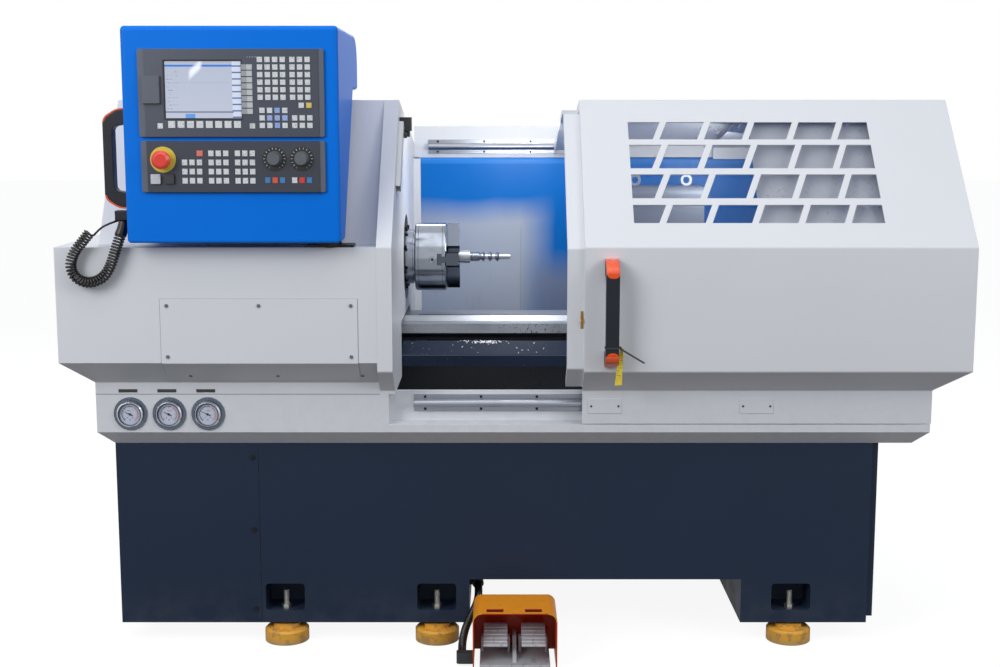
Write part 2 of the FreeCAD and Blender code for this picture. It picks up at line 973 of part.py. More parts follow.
# Headstock, spindle and chuck.
head_left = -880.0
head_right = -300.0
head_half = 140.0
head_height = 165.0
spindle_radius = 45.0
spindle_left = -905.0
spindle_bore = 26.0
neck_radius = 60.0
nose_radius = 80.0
nose_face = -249.0
cap_radius = 104.0
cap_face = -279.0
chuck_radius = 100.0
chuck_length = 92.0
chuck_bore = 30.0
jaw_width = 34.0
jaw_slot = 18.0
jaw_slot_depth = 26.0
jaw_length = 37.0
jaw_inner = 17.0
jaw_outer = 102.0
jaw_travel = 6.0
chuck_face = nose_face + chuck_length


def headstock():
    """The cast housing, with a rounded crown over the spindle bore."""
    top = spindle_z + head_height
    y0 = spindle_y - head_half
    y1 = spindle_y + head_half
    side = [(y0, way_top), (y0, top), (y1, top), (y1, way_top)]
    body = along_x(side, head_left, head_right, [0, 46.0, 46.0, 0])
    vee = bed_front + vee_at
    grooves = along_x(
        [(vee - vee_height - 1, way_top - 1), (vee, way_top + vee_height), (vee + vee_height + 1, way_top - 1)],
        head_left - 1,
        head_right + 1,
    )
    bore = rod_x(head_left - 1, head_right + 1, spindle_radius + run_fit, spindle_y, spindle_z)
    return body.cut([grooves, bore])


def bearing_cap():
    """The dark cover ring round the spindle nose, with its bolt heads."""
    ring = rod_x(head_right, cap_face, cap_radius, spindle_y, spindle_z)
    ring = ring.cut(rod_x(head_right - 1, cap_face + 1, neck_radius + run_fit, spindle_y, spindle_z))
    bolts = []
    for i in range(8):
        turn = math.radians(22.5 + 45 * i)
        y = spindle_y + 92.0 * math.cos(turn)
        z = spindle_z + 92.0 * math.sin(turn)
        bolts.append(hexagon_x(cap_face - 1, cap_face + 8.0, 7.0, y, z))
    return joined([ring] + bolts)


def spindle():
    body = turned_x(
        [
            (spindle_left, spindle_radius - 5),
            (spindle_left + 12, spindle_radius - 5),
            (spindle_left + 12, spindle_radius),
            (head_right + 0.5, spindle_radius),
            (head_right + 0.5, neck_radius),
            (cap_face + 1.0, neck_radius),
            (cap_face + 1.0, nose_radius),
            (nose_face - 6.0, nose_radius),
            (nose_face - 6.0, nose_radius - 5),
            (nose_face, nose_radius - 5),
        ],
        spindle_y,
        spindle_z,
    )
    return body.cut(rod_x(spindle_left - 1, nose_face + 1, spindle_bore, spindle_y, spindle_z))


def turned_about_spindle(shape, degrees):
    copy = shape.copy()
    copy.rotate(FreeCAD.Vector(0, spindle_y, spindle_z), FreeCAD.Vector(1, 0, 0), degrees)
    return copy


def radial_block(x0, x1, r0, r1, width):
    """A block that lies along the radius towards the front of the machine."""
    half = width / 2
    return box(x0, x1, spindle_y - r1, spindle_y - r0, spindle_z - half, spindle_z + half)


def chuck_body():
    edge = 3.0
    body = turned_x(
        [
            (nose_face, chuck_radius - edge),
            (nose_face + edge, chuck_radius),
            (chuck_face - edge, chuck_radius),
            (chuck_face, chuck_radius - edge),
        ],
        spindle_y,
        spindle_z,
    )
    cuts = [rod_x(nose_face - 1, chuck_face + 1, chuck_bore, spindle_y, spindle_z)]
    for k in range(3):
        slot = radial_block(chuck_face - jaw_slot_depth, chuck_face + 1, 0, chuck_radius + 5, jaw_slot)
        tee = radial_block(
            chuck_face - jaw_slot_depth,
            chuck_face - jaw_slot_depth / 2,
            0,
            chuck_radius + 5,
            jaw_width,
        )
        key = rod_y(
            spindle_y - chuck_radius - 5,
            spindle_y - chuck_radius + 14,
            8.0,
            chuck_face - jaw_slot_depth - 14.0,
            spindle_z,
        )
        for piece in (slot, tee, key):
            cuts.append(turned_about_spindle(piece, 120 * k))
    return body.cut(cuts)


def jaw(k):
    """A jaw with its tee in the chuck's slot."""
    gap = slide_gap
    low = chuck_face - jaw_slot_depth
    tee = radial_block(
        low + gap,
        chuck_face - jaw_slot_depth / 2 - gap,
        chuck_bore + 4,
        jaw_outer - 8,
        jaw_width - 2 * gap,
    )
    stem = radial_block(low + gap, chuck_face + 2, chuck_bore + 4, jaw_outer - 8, jaw_slot - 2 * gap)
    top = radial_block(chuck_face + gap, chuck_face + jaw_length, jaw_inner + gap, jaw_outer, jaw_width)
    nose = math.radians(60)
    half = jaw_width / 2
    run = half / math.tan(nose)
    flank_points = [
        (spindle_y - jaw_inner + 1, spindle_z + 4.0),
        (spindle_y - jaw_inner + 1, spindle_z + half + 1),
        (spindle_y - jaw_inner - run - 1, spindle_z + half + 1),
    ]
    flank = along_x(flank_points, chuck_face, chuck_face + jaw_length + 1)
    other = flank.mirror(FreeCAD.Vector(0, spindle_y, spindle_z), FreeCAD.Vector(0, 0, 1))
    block = top.cut([flank, other])
    return turned_about_spindle(joined([tee, stem, block]), 120 * k)


def workpiece():
    """The turned sample: collar, teeth, three beads and a thin tip."""
    start = chuck_face + 4.0
    face = chuck_face + jaw_length
    profile = [(start, jaw_inner), (face + 3, jaw_inner), (face + 3, 19.5), (face + 31, 19.5), (face + 31, 14.0)]
    x = face + 34.0
    for i in range(4):
        profile.append((x, 12.0))
        profile.append((x + 3.1, 15.5))
        x += 6.25
    profile.append((x, 12.0))
    for i in range(3):
        profile.append((x + 4.0, 8.0))
        profile.append((x + 10.5, 16.0))
        profile.append((x + 17.0, 8.0))
        x += 21.0
    profile.append((x + 28.0, 7.5))
    return turned_x(profile, spindle_y, spindle_z)


# Ball screw and its guard.
screw_y = 430.0
screw_z = 752.0
screw_radius = 16.0
screw_left = -250.0
screw_right = bed_right - 3.0
support_length = 32.0
support_half = 30.0
nut_shell = 25.0
guard_top_y = 400.0
guard_lip_y = 362.0
screw_guard_sheet = 3.0
guard_fall = 28.0
guard_fold = 5.0
guard_rise = 40.0


def ball_screw():
    return rod_x(screw_left, screw_right, screw_radius, screw_y, screw_z)


def screw_supports():
    """The two bearing blocks cast on the bed's web for the ball screw."""
    blocks = []
    web = bed_front + way_overhang
    for x in (screw_left + 4.0, screw_right - support_length - 6.0):
        side = [
            (screw_y - support_half, screw_z - support_half),
            (screw_y - support_half, screw_z + support_half),
            (web, screw_z + support_half),
            (web, screw_z - support_half),
        ]
        block = along_x(side, x, x + support_length, [10.0, 10.0, 0, 0])
        blocks.append(block.cut(rod_x(x - 1, x + support_length + 1, screw_radius + run_fit, screw_y, screw_z)))
    return blocks


def screw_guard():
    """The folded strip in front of the ball screw, on a bracket at each end."""
    lip = guard_lip_y
    path = [(lip, screw_z - guard_fall), (lip, screw_z + guard_fold), (guard_top_y, screw_z + guard_rise)]
    strip = folded(path, screw_guard_sheet, column_right, bed_right, 3.0)
    ends = []
    web = bed_front + way_overhang
    for x in (column_right + 3.0, bed_right - 3.0 - screw_guard_sheet):
        low = screw_z - guard_fall + screw_guard_sheet
        high = screw_z + guard_rise - 2 * screw_guard_sheet - 1.0
        side = [(lip + 1.0, low), (lip + 1.0, screw_z + guard_fold - 1.0), (guard_top_y - 8.0, high)]
        side += [(web, high), (web, low)]
        plate = along_x(side, x, x + screw_guard_sheet)
        ends.append(plate.cut(rod_x(x - 1, x + 8.0, screw_radius + 6.0, screw_y, screw_z)))
    return joined([strip] + ends)


# Carriage: saddle, cross slide and turret.
saddle_left = 380.0
saddle_right = 600.0
saddle_front = 400.0
saddle_back = 900.0
saddle_thick = 50.0
slide_left = 420.0
slide_right = 580.0
slide_front = 560.0
slide_back = 905.0
slide_thick = 45.0
dovetail_rise = 18.0
dovetail_half = 50.0
dovetail_slope = 9.0
turret_y = 800.0
turret_left = 305.0
turret_right = 365.0
turret_radius = 110.0
turret_sides = 8
tool_reach = 35.0
tool_size = 20.0
housing_left = 372.0
housing_right = 620.0
housing_half = 92.0
housing_top = 200.0
turret_neck = 48.0
eye_radius = 18.0
eye_hole = 10.0
eye_thick = 4.0
saddle_top = way_top + saddle_thick
slide_top = saddle_top + slide_thick
slide_middle = (slide_left + slide_right) / 2


def dovetail(gap, z0, z1):
    wide = dovetail_half + gap
    narrow = dovetail_half - dovetail_slope + gap
    return [
        (slide_middle - narrow, z0),
        (slide_middle - wide, z1),
        (slide_middle + wide, z1),
        (slide_middle + narrow, z0),
    ]


def saddle():
    """The carriage over both ways, with its dovetail and the screw's nut."""
    low = way_top + slide_gap
    body = along_z(
        rectangle(saddle_left, saddle_right, saddle_front, saddle_back),
        low,
        saddle_top,
        14.0,
    )
    tail = along_y(dovetail(0, saddle_top - 1, saddle_top + dovetail_rise), saddle_front + 60, saddle_back)
    hanger = box(slide_left + 20, slide_right - 20, screw_y - nut_shell, bed_front - 4.0, screw_z, low + 1)
    nut = rod_x(slide_left + 20, slide_right - 20, nut_shell, screw_y, screw_z)
    whole = joined([body, tail, hanger, nut])
    vee = bed_front + vee_at
    reach = vee_height + 2 * slide_gap
    groove = along_x(
        [(vee - reach - 2, way_top - 2), (vee, way_top + reach), (vee + reach + 2, way_top - 2)],
        saddle_left - 1,
        saddle_right + 1,
    )
    bore = rod_x(slide_left, slide_right, screw_radius + run_fit, screw_y, screw_z)
    return whole.cut([groove, bore])


def cross_slide():
    gap = slide_gap
    body = along_z(
        rectangle(slide_left, slide_right, slide_front, slide_back),
        saddle_top + gap,
        slide_top,
        10.0,
    )
    groove = along_y(
        dovetail(gap, saddle_top - 1, saddle_top + dovetail_rise + gap),
        slide_front - 1,
        slide_back + 1,
    )
    return body.cut(groove)


def turret_housing():
    """The turret's cast body on the cross slide, with two lifting eyes."""
    y0 = turret_y - housing_half
    y1 = turret_y + housing_half
    top = spindle_z + housing_top
    body = along_x(
        [(y0 + 18, slide_top), (y0, spindle_z - 40), (y0, top), (y1, top), (y1, slide_top)],
        housing_left,
        housing_right,
        [0, 20.0, 24.0, 24.0, 0],
    )
    socket = rod_x(housing_left - 1, housing_left + 30.0, turret_neck + run_fit, turret_y, spindle_z)
    eyes = []
    for x in (housing_left + 45.0, housing_right - 45.0):
        middle = top + eye_radius
        ring = rod_y(turret_y - eye_thick, turret_y + eye_thick, eye_radius, x, middle)
        eyes.append(ring.cut(rod_y(turret_y - 10, turret_y + 10, eye_hole, x, middle)))
    return joined([body.cut(socket)] + eyes)


def turret_disc():
    """The eight-sided tool disc with a slot for a tool in each face."""
    corners = []
    for i in range(turret_sides):
        turn = 2 * math.pi * (i + 0.5) / turret_sides
        reach = turret_radius / math.cos(math.pi / turret_sides)
        corners.append((turret_y + reach * math.cos(turn), spindle_z + reach * math.sin(turn)))
    disc = along_x(corners, turret_left, turret_right)
    neck = rod_x(turret_right - 1, housing_left + 29.0, turret_neck, turret_y, spindle_z)
    hub = rod_x(turret_left - 12.0, turret_left + 1, 40.0, turret_y, spindle_z)
    return joined([disc, neck, hub]).cut([tool_bar(i) for i in range(0, turret_sides, 2)])


def tool_bar(i):
    """A square tool shank that lies along the disc's radius."""
    half = tool_size / 2
    middle = (turret_left + turret_right) / 2
    shank = box(
        middle - half,
        middle + half,
        turret_y - turret_radius - tool_reach,
        turret_y - turret_radius + 45.0,
        spindle_z - half,
        spindle_z + half,
    )
    shank.rotate(
        FreeCAD.Vector(0, turret_y, spindle_z),
        FreeCAD.Vector(1, 0, 0),
        360.0 * i / turret_sides,
    )
    return shank


def turning_tools():
    return [tool_bar(i) for i in range(0, turret_sides, 2)]


# Tailstock.
tail_length = 200.0
tail_left = bed_right - 90.0 - tail_length
tail_right = tail_left + tail_length
tail_barrel = 46.0
quill_radius = 25.0
quill_left = tail_left - 28.0
centre_tip = quill_left - 46.0
quill_travel = 80.0
tail_wheel_radius = 70.0
tail_wheel_left = tail_right + 22.0


def tailstock():
    """The cast tailstock: a waisted stand on the ways and a barrel on the axis."""
    low = way_top + slide_gap
    half = bed_width / 2
    base = along_x(
        [(spindle_y - half, low), (spindle_y - half, low + 34.0), (spindle_y + half, low + 34.0), (spindle_y + half, low)],
        tail_left,
        tail_right,
        [0, 8.0, 8.0, 0],
    )
    stand = along_x(
        [
            (spindle_y - 90.0, low + 30.0),
            (spindle_y - 42.0, spindle_z - 20.0),
            (spindle_y + 42.0, spindle_z - 20.0),
            (spindle_y + 90.0, low + 30.0),
        ],
        tail_left + 20.0,
        tail_right - 20.0,
        [0, 12.0, 12.0, 0],
    )
    barrel = rod_x(tail_left - 8.0, tail_right + 8.0, tail_barrel, spindle_y, spindle_z)
    body = joined([base, stand, barrel])
    vee = bed_front + vee_at
    reach = vee_height + 2 * slide_gap
    groove = along_x(
        [(vee - reach - 2, way_top - 2), (vee, way_top + reach), (vee + reach + 2, way_top - 2)],
        tail_left - 1,
        tail_right + 1,
    )
    bore = rod_x(tail_left - 9.0, tail_right - 20.0, quill_radius + run_fit, spindle_y, spindle_z)
    stem = rod_x(tail_right - 21.0, tail_right + 9.0, 12.0 + run_fit, spindle_y, spindle_z)
    return body.cut([groove, bore, stem])


def quill():
    """The sliding quill with its sixty-degree centre."""
    tip = centre_tip
    return turned_x(
        [
            (tip, 0.5),
            (tip + 26.0, 15.0),
            (tip + 40.0, 15.0),
            (tip + 40.0, 18.0),
            (quill_left, 18.0),
            (quill_left, quill_radius),
            (tail_right - 30.0, quill_radius),
        ],
        spindle_y,
        spindle_z,
    )


def tail_wheel():
    """The handwheel that feeds the quill, with three spokes and a spinner."""
    left = tail_wheel_left
    rim = turned_x(
        [
            (left + 3.0, tail_wheel_radius - 5.0),
            (left + 7.0, tail_wheel_radius),
            (left + 13.0, tail_wheel_radius),
            (left + 17.0, tail_wheel_radius - 5.0),
        ],
        spindle_y,
        spindle_z,
    ).cut(rod_x(left, left + 20.0, tail_wheel_radius - 14.0, spindle_y, spindle_z))
    hub = rod_x(left - 4.0, left + 22.0, 20.0, spindle_y, spindle_z)
    stem = rod_x(tail_right - 18.0, left - 3.0, 12.0, spindle_y, spindle_z)
    spokes = []
    for k in range(3):
        spoke = box(left + 5.0, left + 15.0, spindle_y - 6, spindle_y + 6, spindle_z + 10.0, spindle_z + 60.0)
        spokes.append(turned_about_spindle(spoke, 120 * k + 60))
    spinner = turned_x(
        [(left + 10, 5.0), (left + 22, 5.0), (left + 22, 9.0), (left + 58, 9.0)],
        spindle_y,
        spindle_z + tail_wheel_radius - 9.0,
    )
    return joined([rim, hub, stem] + spokes + [spinner])


# Operator console.
console_left = -938.0
console_width = 538.0
console_right = console_left + console_width
console_front = -60.0
console_lift = 16.0
console_height = 537.0
console_bottom = waist + console_lift
console_top = console_bottom + console_height
console_foot_depth = 105.0
console_back = 430.0
pivot_x = -435.0
pivot_y = 8.0
pivot_flange_radius = 52.0
pivot_flange = 7.0
pivot_post_radius = 30.0
pivot_pin_radius = 16.0
pivot_pin_height = 60.0
console_gap = 0.5


def console_housing():
    """The sheet-metal box, its back cut away to clear the sloping hood."""
    console_step = console_top - (console_height * 147) / 537
    foot_back = console_front + console_foot_depth
    rate = head_slope_run / slope_rise
    step_y = foot_back + (console_step - console_bottom) * rate
    side = [
        (console_front, console_bottom),
        (console_front, console_top),
        (console_back, console_top),
        (console_back, console_step),
        (step_y, console_step),
        (foot_back, console_bottom),
    ]
    body = along_x(side, console_left, console_right, [6.0, 12.0, 78.0, 6.0, 0, 6.0])
    bore = rod_z(console_bottom - 1, console_bottom + pivot_pin_height + 2, pivot_pin_radius + run_fit, pivot_x, pivot_y)
    ways = [body.Edges[i] for i in range(len(body.Edges))]
    long_edges = []
    for edge in ways:
        box_of = edge.BoundBox
        at_front = abs(box_of.YMin - console_front) < 0.1 and abs(box_of.YMax - console_front) < 0.1
        upright = box_of.ZMax - box_of.ZMin > 300
        if at_front and upright:
            long_edges.append(edge)
    body = body.makeFillet(10.0, long_edges)
    return body.cut(bore)


def console_pivot():
    """The flanged post that carries the console on the headstock's ledge."""
    top = console_bottom - console_gap
    flange = rod_z(waist, waist + pivot_flange, pivot_flange_radius, pivot_x, pivot_y + pivot_flange_radius - 45.0)
    post = rod_z(waist, top, pivot_post_radius, pivot_x, pivot_y)
    pin = rod_z(waist, top + pivot_pin_height, pivot_pin_radius, pivot_x, pivot_y)
    front = box(pivot_x - 60, pivot_x + 60, 2.0, 60.0, waist, waist + pivot_flange)
    trim = box(pivot_x - 200, pivot_x + 200, -200.0, 1.0, waist, waist + pivot_flange)
    body = joined([flange.cut(trim), front])
    return joined([body, post.cut(box(pivot_x - 60, pivot_x + 60, -60, 1.0, waist - 1, waist + pivot_flange)), pin])


# the two panels on the console's face, laid out in steps of its width and height
across = console_width / 538
down = console_height / 537
bezel_left = console_left + 43 * across
bezel_right = console_right - 35 * across
bezel_top = console_top - 57 * down
bezel_bottom = bezel_top - 215 * down
bezel_thick = 9.0
lower_top = bezel_bottom - 10 * down
lower_bottom = lower_top - 127 * down
screen_left = 66 * across
screen_right = 256 * across
screen_drop = 29 * down
screen_bottom_drop = 170 * down
screen_well = 4.0
key_rise = 1.6
panel_face = console_front - bezel_thick


def panel_plate(x0, x1, z0, z1):
    """A moulded panel front with a stepped end at each side."""
    plate = along_y(rectangle(x0, x1, z0, z1), panel_face, console_front, 5.0)
    rebates = [
        box(x0 - 5, x0 + 16 * across, panel_face - 1, panel_face + 2.5, z0 - 5, z1 + 5),
        box(x1 - 14 * across, x1 + 5, panel_face - 1, panel_face + 2.5, z0 - 5, z1 + 5),
    ]
    return plate.cut(rebates)


def display_bezel():
    plate = panel_plate(bezel_left, bezel_right, bezel_bottom, bezel_top)
    well = along_y(
        rectangle(
            bezel_left + screen_left,
            bezel_left + screen_right,
            bezel_top - screen_bottom_drop,
            bezel_top - screen_drop,
        ),
        panel_face - 1,
        panel_face + screen_well,
        2.0,
    )
    return plate.cut(well)


def screen():
    lip = 1.0
    return box(
        bezel_left + screen_left + lip,
        bezel_left + screen_right - lip,
        panel_face + screen_well - 1.5,
        panel_face + screen_well,
        bezel_top - screen_bottom_drop + lip,
        bezel_top - screen_drop - lip,
    )


def key_block(corner, left, drop, columns, rows, pitch_x, pitch_z, width, height):
    """Rows of flat keys in layout steps; left and drop place the first key's corner."""
    keys = []
    for i in range(columns):
        for j in range(rows):
            x = corner[0] + (left + pitch_x * i) * across
            z = corner[1] - (drop + pitch_z * j) * down
            keys.append(box(x, x + width * across, panel_face - key_rise, panel_face, z - height * down, z))
    return keys


def display_keys():
    corner = (bezel_left, bezel_top)
    keys = key_block(corner, 256.5, 38, 1, 8, 18.8, 15.4, 27, 13)
    keys += key_block(corner, 73, 176, 8, 1, 23.3, 18.8, 17, 17)
    keys += key_block(corner, 46.5, 181.5, 1, 1, 18.8, 18.8, 13, 13)
    keys += key_block(corner, 275, 181.5, 1, 1, 18.8, 18.8, 13, 13)
    keys += key_block(corner, 296, 19.5, 4, 6, 18.8, 18.4, 13, 13)
    keys += key_block(corner, 376, 19.5, 3, 6, 18.8, 18.4, 13, 13)
    keys += key_block(corner, 397, 131, 2, 1, 18.8, 18.8, 13, 13)
    keys += key_block(corner, 299.5, 143.5, 4, 3, 18.8, 18.4, 13, 13)
    keys += key_block(corner, 380, 161.9, 3, 2, 18.8, 18.4, 13, 13)
    return group(keys)


flap_left = 11 * across
flap_right = 55 * across
flap_drop = 66 * down
flap_bottom_drop = 133 * down
flap_thick = 9.0
flap_gap = 0.0


def port_flap():
    """The cover over the data port, hinged at its left edge."""
    x0 = bezel_left + flap_left
    x1 = bezel_left + flap_right
    plan = [
        (x0, panel_face - flap_gap),
        (x0, panel_face - flap_gap - flap_thick),
        (x1, panel_face - flap_gap - flap_thick),
        (x1, panel_face - flap_gap),
    ]
    return along_z(plan, bezel_top - flap_bottom_drop, bezel_top - flap_drop, [0, 2.5, 2.5, 0])


def operator_panel():
    plate = panel_plate(bezel_left + 2 * across, bezel_right, lower_bottom, lower_top)
    bores = [
        rod_y(panel_face - 1, console_front - 1.5, stop_stem_radius + run_fit, stop_x, stop_z),
    ]
    for x in knob_x:
        bores.append(rod_y(panel_face - 1, console_front - 1.5, knob_stem_radius + run_fit, x, knob_z))
    for x in lamp_button_x:
        bores.append(
            box(
                x - lamp_button_half - slide_gap,
                x + lamp_button_half + slide_gap,
                panel_face - 1,
                console_front - 1.5,
                lamp_button_z - lamp_button_half - slide_gap,
                lamp_button_z + lamp_button_half + slide_gap,
            )
        )
    return plate.cut(bores)


stop_x = bezel_left + 57 * across
stop_z = lower_top - 46 * down
stop_plate_radius = 32 * down
stop_head_radius = 23 * down
stop_height = 33.0
stop_stem_radius = 11.0
stop_travel = 5.0
knob_x = (bezel_left + 334 * across, bezel_left + 402 * across)
knob_z = lower_top - 44 * down
knob_dial_radius = 30 * down
knob_radius = 17 * down
knob_height = 19.0
knob_stem_radius = 5.0
lamp_button_x = (bezel_left + 38 * across, bezel_left + 72 * across)
lamp_button_z = lower_top - 94 * down
lamp_button_half = 12 * down
lamp_button_rise = 7.0
lamp_button_travel = 3.0


def operator_keys():
    corner = (bezel_left + 2 * across, lower_top)
    keys = key_block(corner, 139, 23.5, 1, 1, 18.4, 22.6, 15, 14)
    keys += key_block(corner, 102, 46, 3, 3, 18.4, 22.6, 13, 14)
    keys += key_block(corner, 168, 23.5, 3, 4, 18.4, 22.6, 13, 14)
    keys += key_block(corner, 234, 23.5, 3, 4, 18.4, 22.6, 13, 14)
    keys += key_block(corner, 308, 90, 3, 1, 18.4, 22.6, 13, 14)
    keys += key_block(corner, 375, 90, 3, 1, 18.4, 22.6, 13, 14)
    return group(keys)


def stop_plate():
    """The yellow disc behind the stop button."""
    disc = rod_y(panel_face - 2.0, panel_face, stop_plate_radius, stop_x, stop_z)
    return disc.cut(rod_y(panel_face - 3, panel_face + 1, stop_stem_radius + 2.0, stop_x, stop_z))


def stop_button():
    face = panel_face - stop_height
    return turned_y(
        [
            (face, stop_head_radius * 0.66),
            (face + 5.0, stop_head_radius),
            (face + 11.0, stop_head_radius),
            (face + 17.0, stop_stem_radius),
            (panel_face + 1.5, stop_stem_radius),
        ],
        stop_x,
        stop_z,
    )


def knob_dials():
    """The two marked discs under the override knobs."""
    dials = []
    for x in knob_x:
        disc = rod_y(panel_face - 1.5, panel_face, knob_dial_radius, x, knob_z)
        dials.append(disc.cut(rod_y(panel_face - 3, panel_face + 1, knob_stem_radius + 1.0, x, knob_z)))
    return group(dials)


def override_knob(i):
    x = knob_x[i]
    base = panel_face - 1.5 - slide_gap
    body = turned_y(
        [
            (base - knob_height, knob_radius - 2.0),
            (base - 4.0, knob_radius),
            (base, knob_radius + 2.0),
            (base, knob_stem_radius),
            (panel_face + 5.0, knob_stem_radius),
        ],
        x,
        knob_z,
    )
    return body


def lamp_button(i):
    x = lamp_button_x[i]
    half = lamp_button_half
    return along_y(
        rectangle(x - half, x + half, lamp_button_z - half, lamp_button_z + half),
        panel_face - lamp_button_rise,
        console_front - 1.5 - lamp_button_travel - 0.5,
        2.0,
    )


# console handle, on the console's left side
console_handle_y = 0.0
console_handle_z = console_bottom + 210 * down


def console_handle(part):
    low = console_handle_z - console_handle_length / 2
    y0 = console_handle_y - handle_width / 2
    y1 = y0 + handle_width

    def prism(points, radii):
        return along_y([(console_left - reach, low + along) for along, reach in points], y0, y1, radii)

    x0 = console_left - handle_reach - 1
    x1 = console_left + 1
    high = low + console_handle_length
    ends = [box(x0, x1, y0 - 1, y1 + 1, low - 1, low + handle_cap), box(x0, x1, y0 - 1, y1 + 1, high - handle_cap, high + 1)]
    return split_handle(console_handle_length, prism, ends, part)


# Cords.
def cord_radii(points):
    """The arc radius at each inner point: 0.45 of the shorter run over the tangent of half the turn."""
    radii = []
    for i in range(1, len(points) - 1):
        before = FreeCAD.Vector(*points[i]) - FreeCAD.Vector(*points[i - 1])
        after = FreeCAD.Vector(*points[i + 1]) - FreeCAD.Vector(*points[i])
        turn = before.getAngle(after)
        radii.append(0.45 * min(before.Length, after.Length) / math.tan(turn / 2))
    return radii


def cord_tube(points, radius, label):
    """A tube along straight runs joined by tangent arcs."""
    spots = [FreeCAD.Vector(*p) for p in points]
    radii = cord_radii(points)
    print(label, "radii", [round(r, 1) for r in radii])
    edges = []
    last = spots[0]
    for i in range(1, len(spots) - 1):
        back = (spots[i - 1] - spots[i]).normalize()
        on = (spots[i + 1] - spots[i]).normalize()
        half = back.getAngle(on) / 2
        reach = radii[i - 1] / math.tan(half)
        middle = (back + on).normalize()
        centre = spots[i] + middle * (radii[i - 1] / math.sin(half))
        first = spots[i] + back * reach
        end = spots[i] + on * reach
        edges.append(Part.LineSegment(last, first).toShape())
        edges.append(Part.Arc(first, centre - middle * radii[i - 1], end).toShape())
        last = end
    edges.append(Part.LineSegment(last, spots[-1]).toShape())
    path = Part.Wire(edges)
    start = (spots[1] - spots[0]).normalize()
    profile = Part.Wire(Part.makeCircle(radius, spots[0], start))
    tube = path.makePipeShell([profile], True, True)
    ideal = math.pi * radius ** 2 * path.Length
    print(label, "length", round(path.Length, 1), "volume share", round(tube.Volume / ideal, 4))
    return tube


coil_radius = 15.0
lead_radius = 3.0
coil_points = [
    (-954.0, -24.0, 1166.0),
    (-954.0, -24.0, 1132.0),
    (-963.0, -24.0, 1092.0),
    (-984.0, -24.0, 1046.0),
    (-1018.0, -24.0, 1010.0),
    (-1062.0, -24.0, 1016.0),
    (-1084.0, -24.0, 1054.0),
    (-1076.0, -24.0, 1098.0),
    (-1048.0, -24.0, 1132.0),
]
lead_points = [
    (-1048.0, -24.0, 1132.0),
    (-1032.0, -24.0, 1151.43),
    (-1009.0, -8.0, 1161.0),
    (-984.0, 12.0, 1168.0),
    (-958.0, 24.0, 1170.0),
    (-938.0, 24.0, 1170.0),
]
hose_radius = 11.0
hose_points = [
    (-61.0, 190.0, 140.0),
    (-58.0, 158.0, 128.0),
    (-62.0, 114.0, 112.0),
    (-78.0, 86.0, 86.0),
    (-94.0, 60.0, 57.0),
    (-100.0, 28.0, 37.0),
    (-101.0, 0.0, 27.0),
    (-100.0, -28.0, 24.0),
    (-100.0, -50.0, 24.0),
]


def curly_cord_coil():
    return cord_tube(coil_points, coil_radius, "curly cord")


def curly_cord_lead():
    return cord_tube(lead_points, lead_radius, "cord lead")


def pedal_hose():
    return cord_tube(hose_points, hose_radius, "pedal hose")


def cord_socket():
    """The angled gland on the console's side that the curly cord hangs from."""
    x, y, z = coil_points[0]
    top = z + 24.0
    block = box(x - 17.0, console_left, y - 17.0, y + 17.0, z, top)
    return block


def hose_gland():
    """The gland on the arch's end wall where the pedal's hose comes out."""
    x, y, z = hose_points[0]
    along = (FreeCAD.Vector(*hose_points[1]) - FreeCAD.Vector(*hose_points[0])).normalize()
    start = FreeCAD.Vector(x, y, z) - along * 26.0
    body = Part.makeCylinder(16.0, 26.0, start, along)
    bracket = box(arch_left, x, y + 4.0, y + 34.0, z - 4.0, z + 20.0)
    return joined([body, bracket])


def hose_elbow():
    """The right-angle gland that takes the hose into the foot switch's side."""
    x, y, z = hose_points[-1]
    return along_z(
        [(x - 14.0, y), (x - 14.0, y - 28.0), (switch_left, y - 28.0), (switch_left, y)],
        z - 14.0,
        z + 14.0,
        [3.0, 9.0, 0, 0],
    )


# Foot switch.
switch_left = -71.0
switch_right = 149.0
switch_front = -95.0
switch_back = 62.0
switch_height = 154.0
switch_lip = 124.0
switch_slope_run = 52.0
switch_wall = 4.0
switch_base = 12.0
switch_rib_height = 60.0
pedal_width = 63.0
pedal_x = (-12.0, 88.0)
pedal_pivot_y = 20.0
pedal_pivot_z = 44.0
pedal_pin = 5.0


def switch_base_plate():
    """The cast base with its middle wall and the lugs that hold the pedals."""
    floor = along_z(
        rectangle(switch_left + 18.0, switch_right - 18.0, switch_front + 2.0, switch_back - switch_wall),
        0,
        switch_base,
        6.0,
    )
    middle = (pedal_x[0] + pedal_x[1]) / 2
    wall = along_x(
        [
            (switch_front + 20.0, switch_base - 1),
            (pedal_pivot_y - 20.0, switch_rib_height),
            (switch_back - switch_wall, switch_rib_height),
            (switch_back - switch_wall, switch_base - 1),
        ],
        middle - 5.0,
        middle + 5.0,
    )
    lugs = []
    for x in pedal_x:
        for side in (-1, 1):
            near = x + side * (pedal_width / 2 + 1.0)
            x0 = min(near, near + side * 6.0)
            lugs.append(
                along_x(
                    [
                        (pedal_pivot_y - 13, switch_base - 1),
                        (pedal_pivot_y - 13, pedal_pivot_z + 11),
                        (pedal_pivot_y + 13, pedal_pivot_z + 11),
                        (pedal_pivot_y + 13, switch_base - 1),
                    ],
                    x0,
                    x0 + 6.0,
                    [0, 10.0, 10.0, 0],
                )
            )
        lugs.append(
            rod_x(
                x - pedal_width / 2 - 3.0,
                x + pedal_width / 2 + 3.0,
                pedal_pin,
                pedal_pivot_y,
                pedal_pivot_z,
            )
        )
    return joined([floor, wall] + lugs)


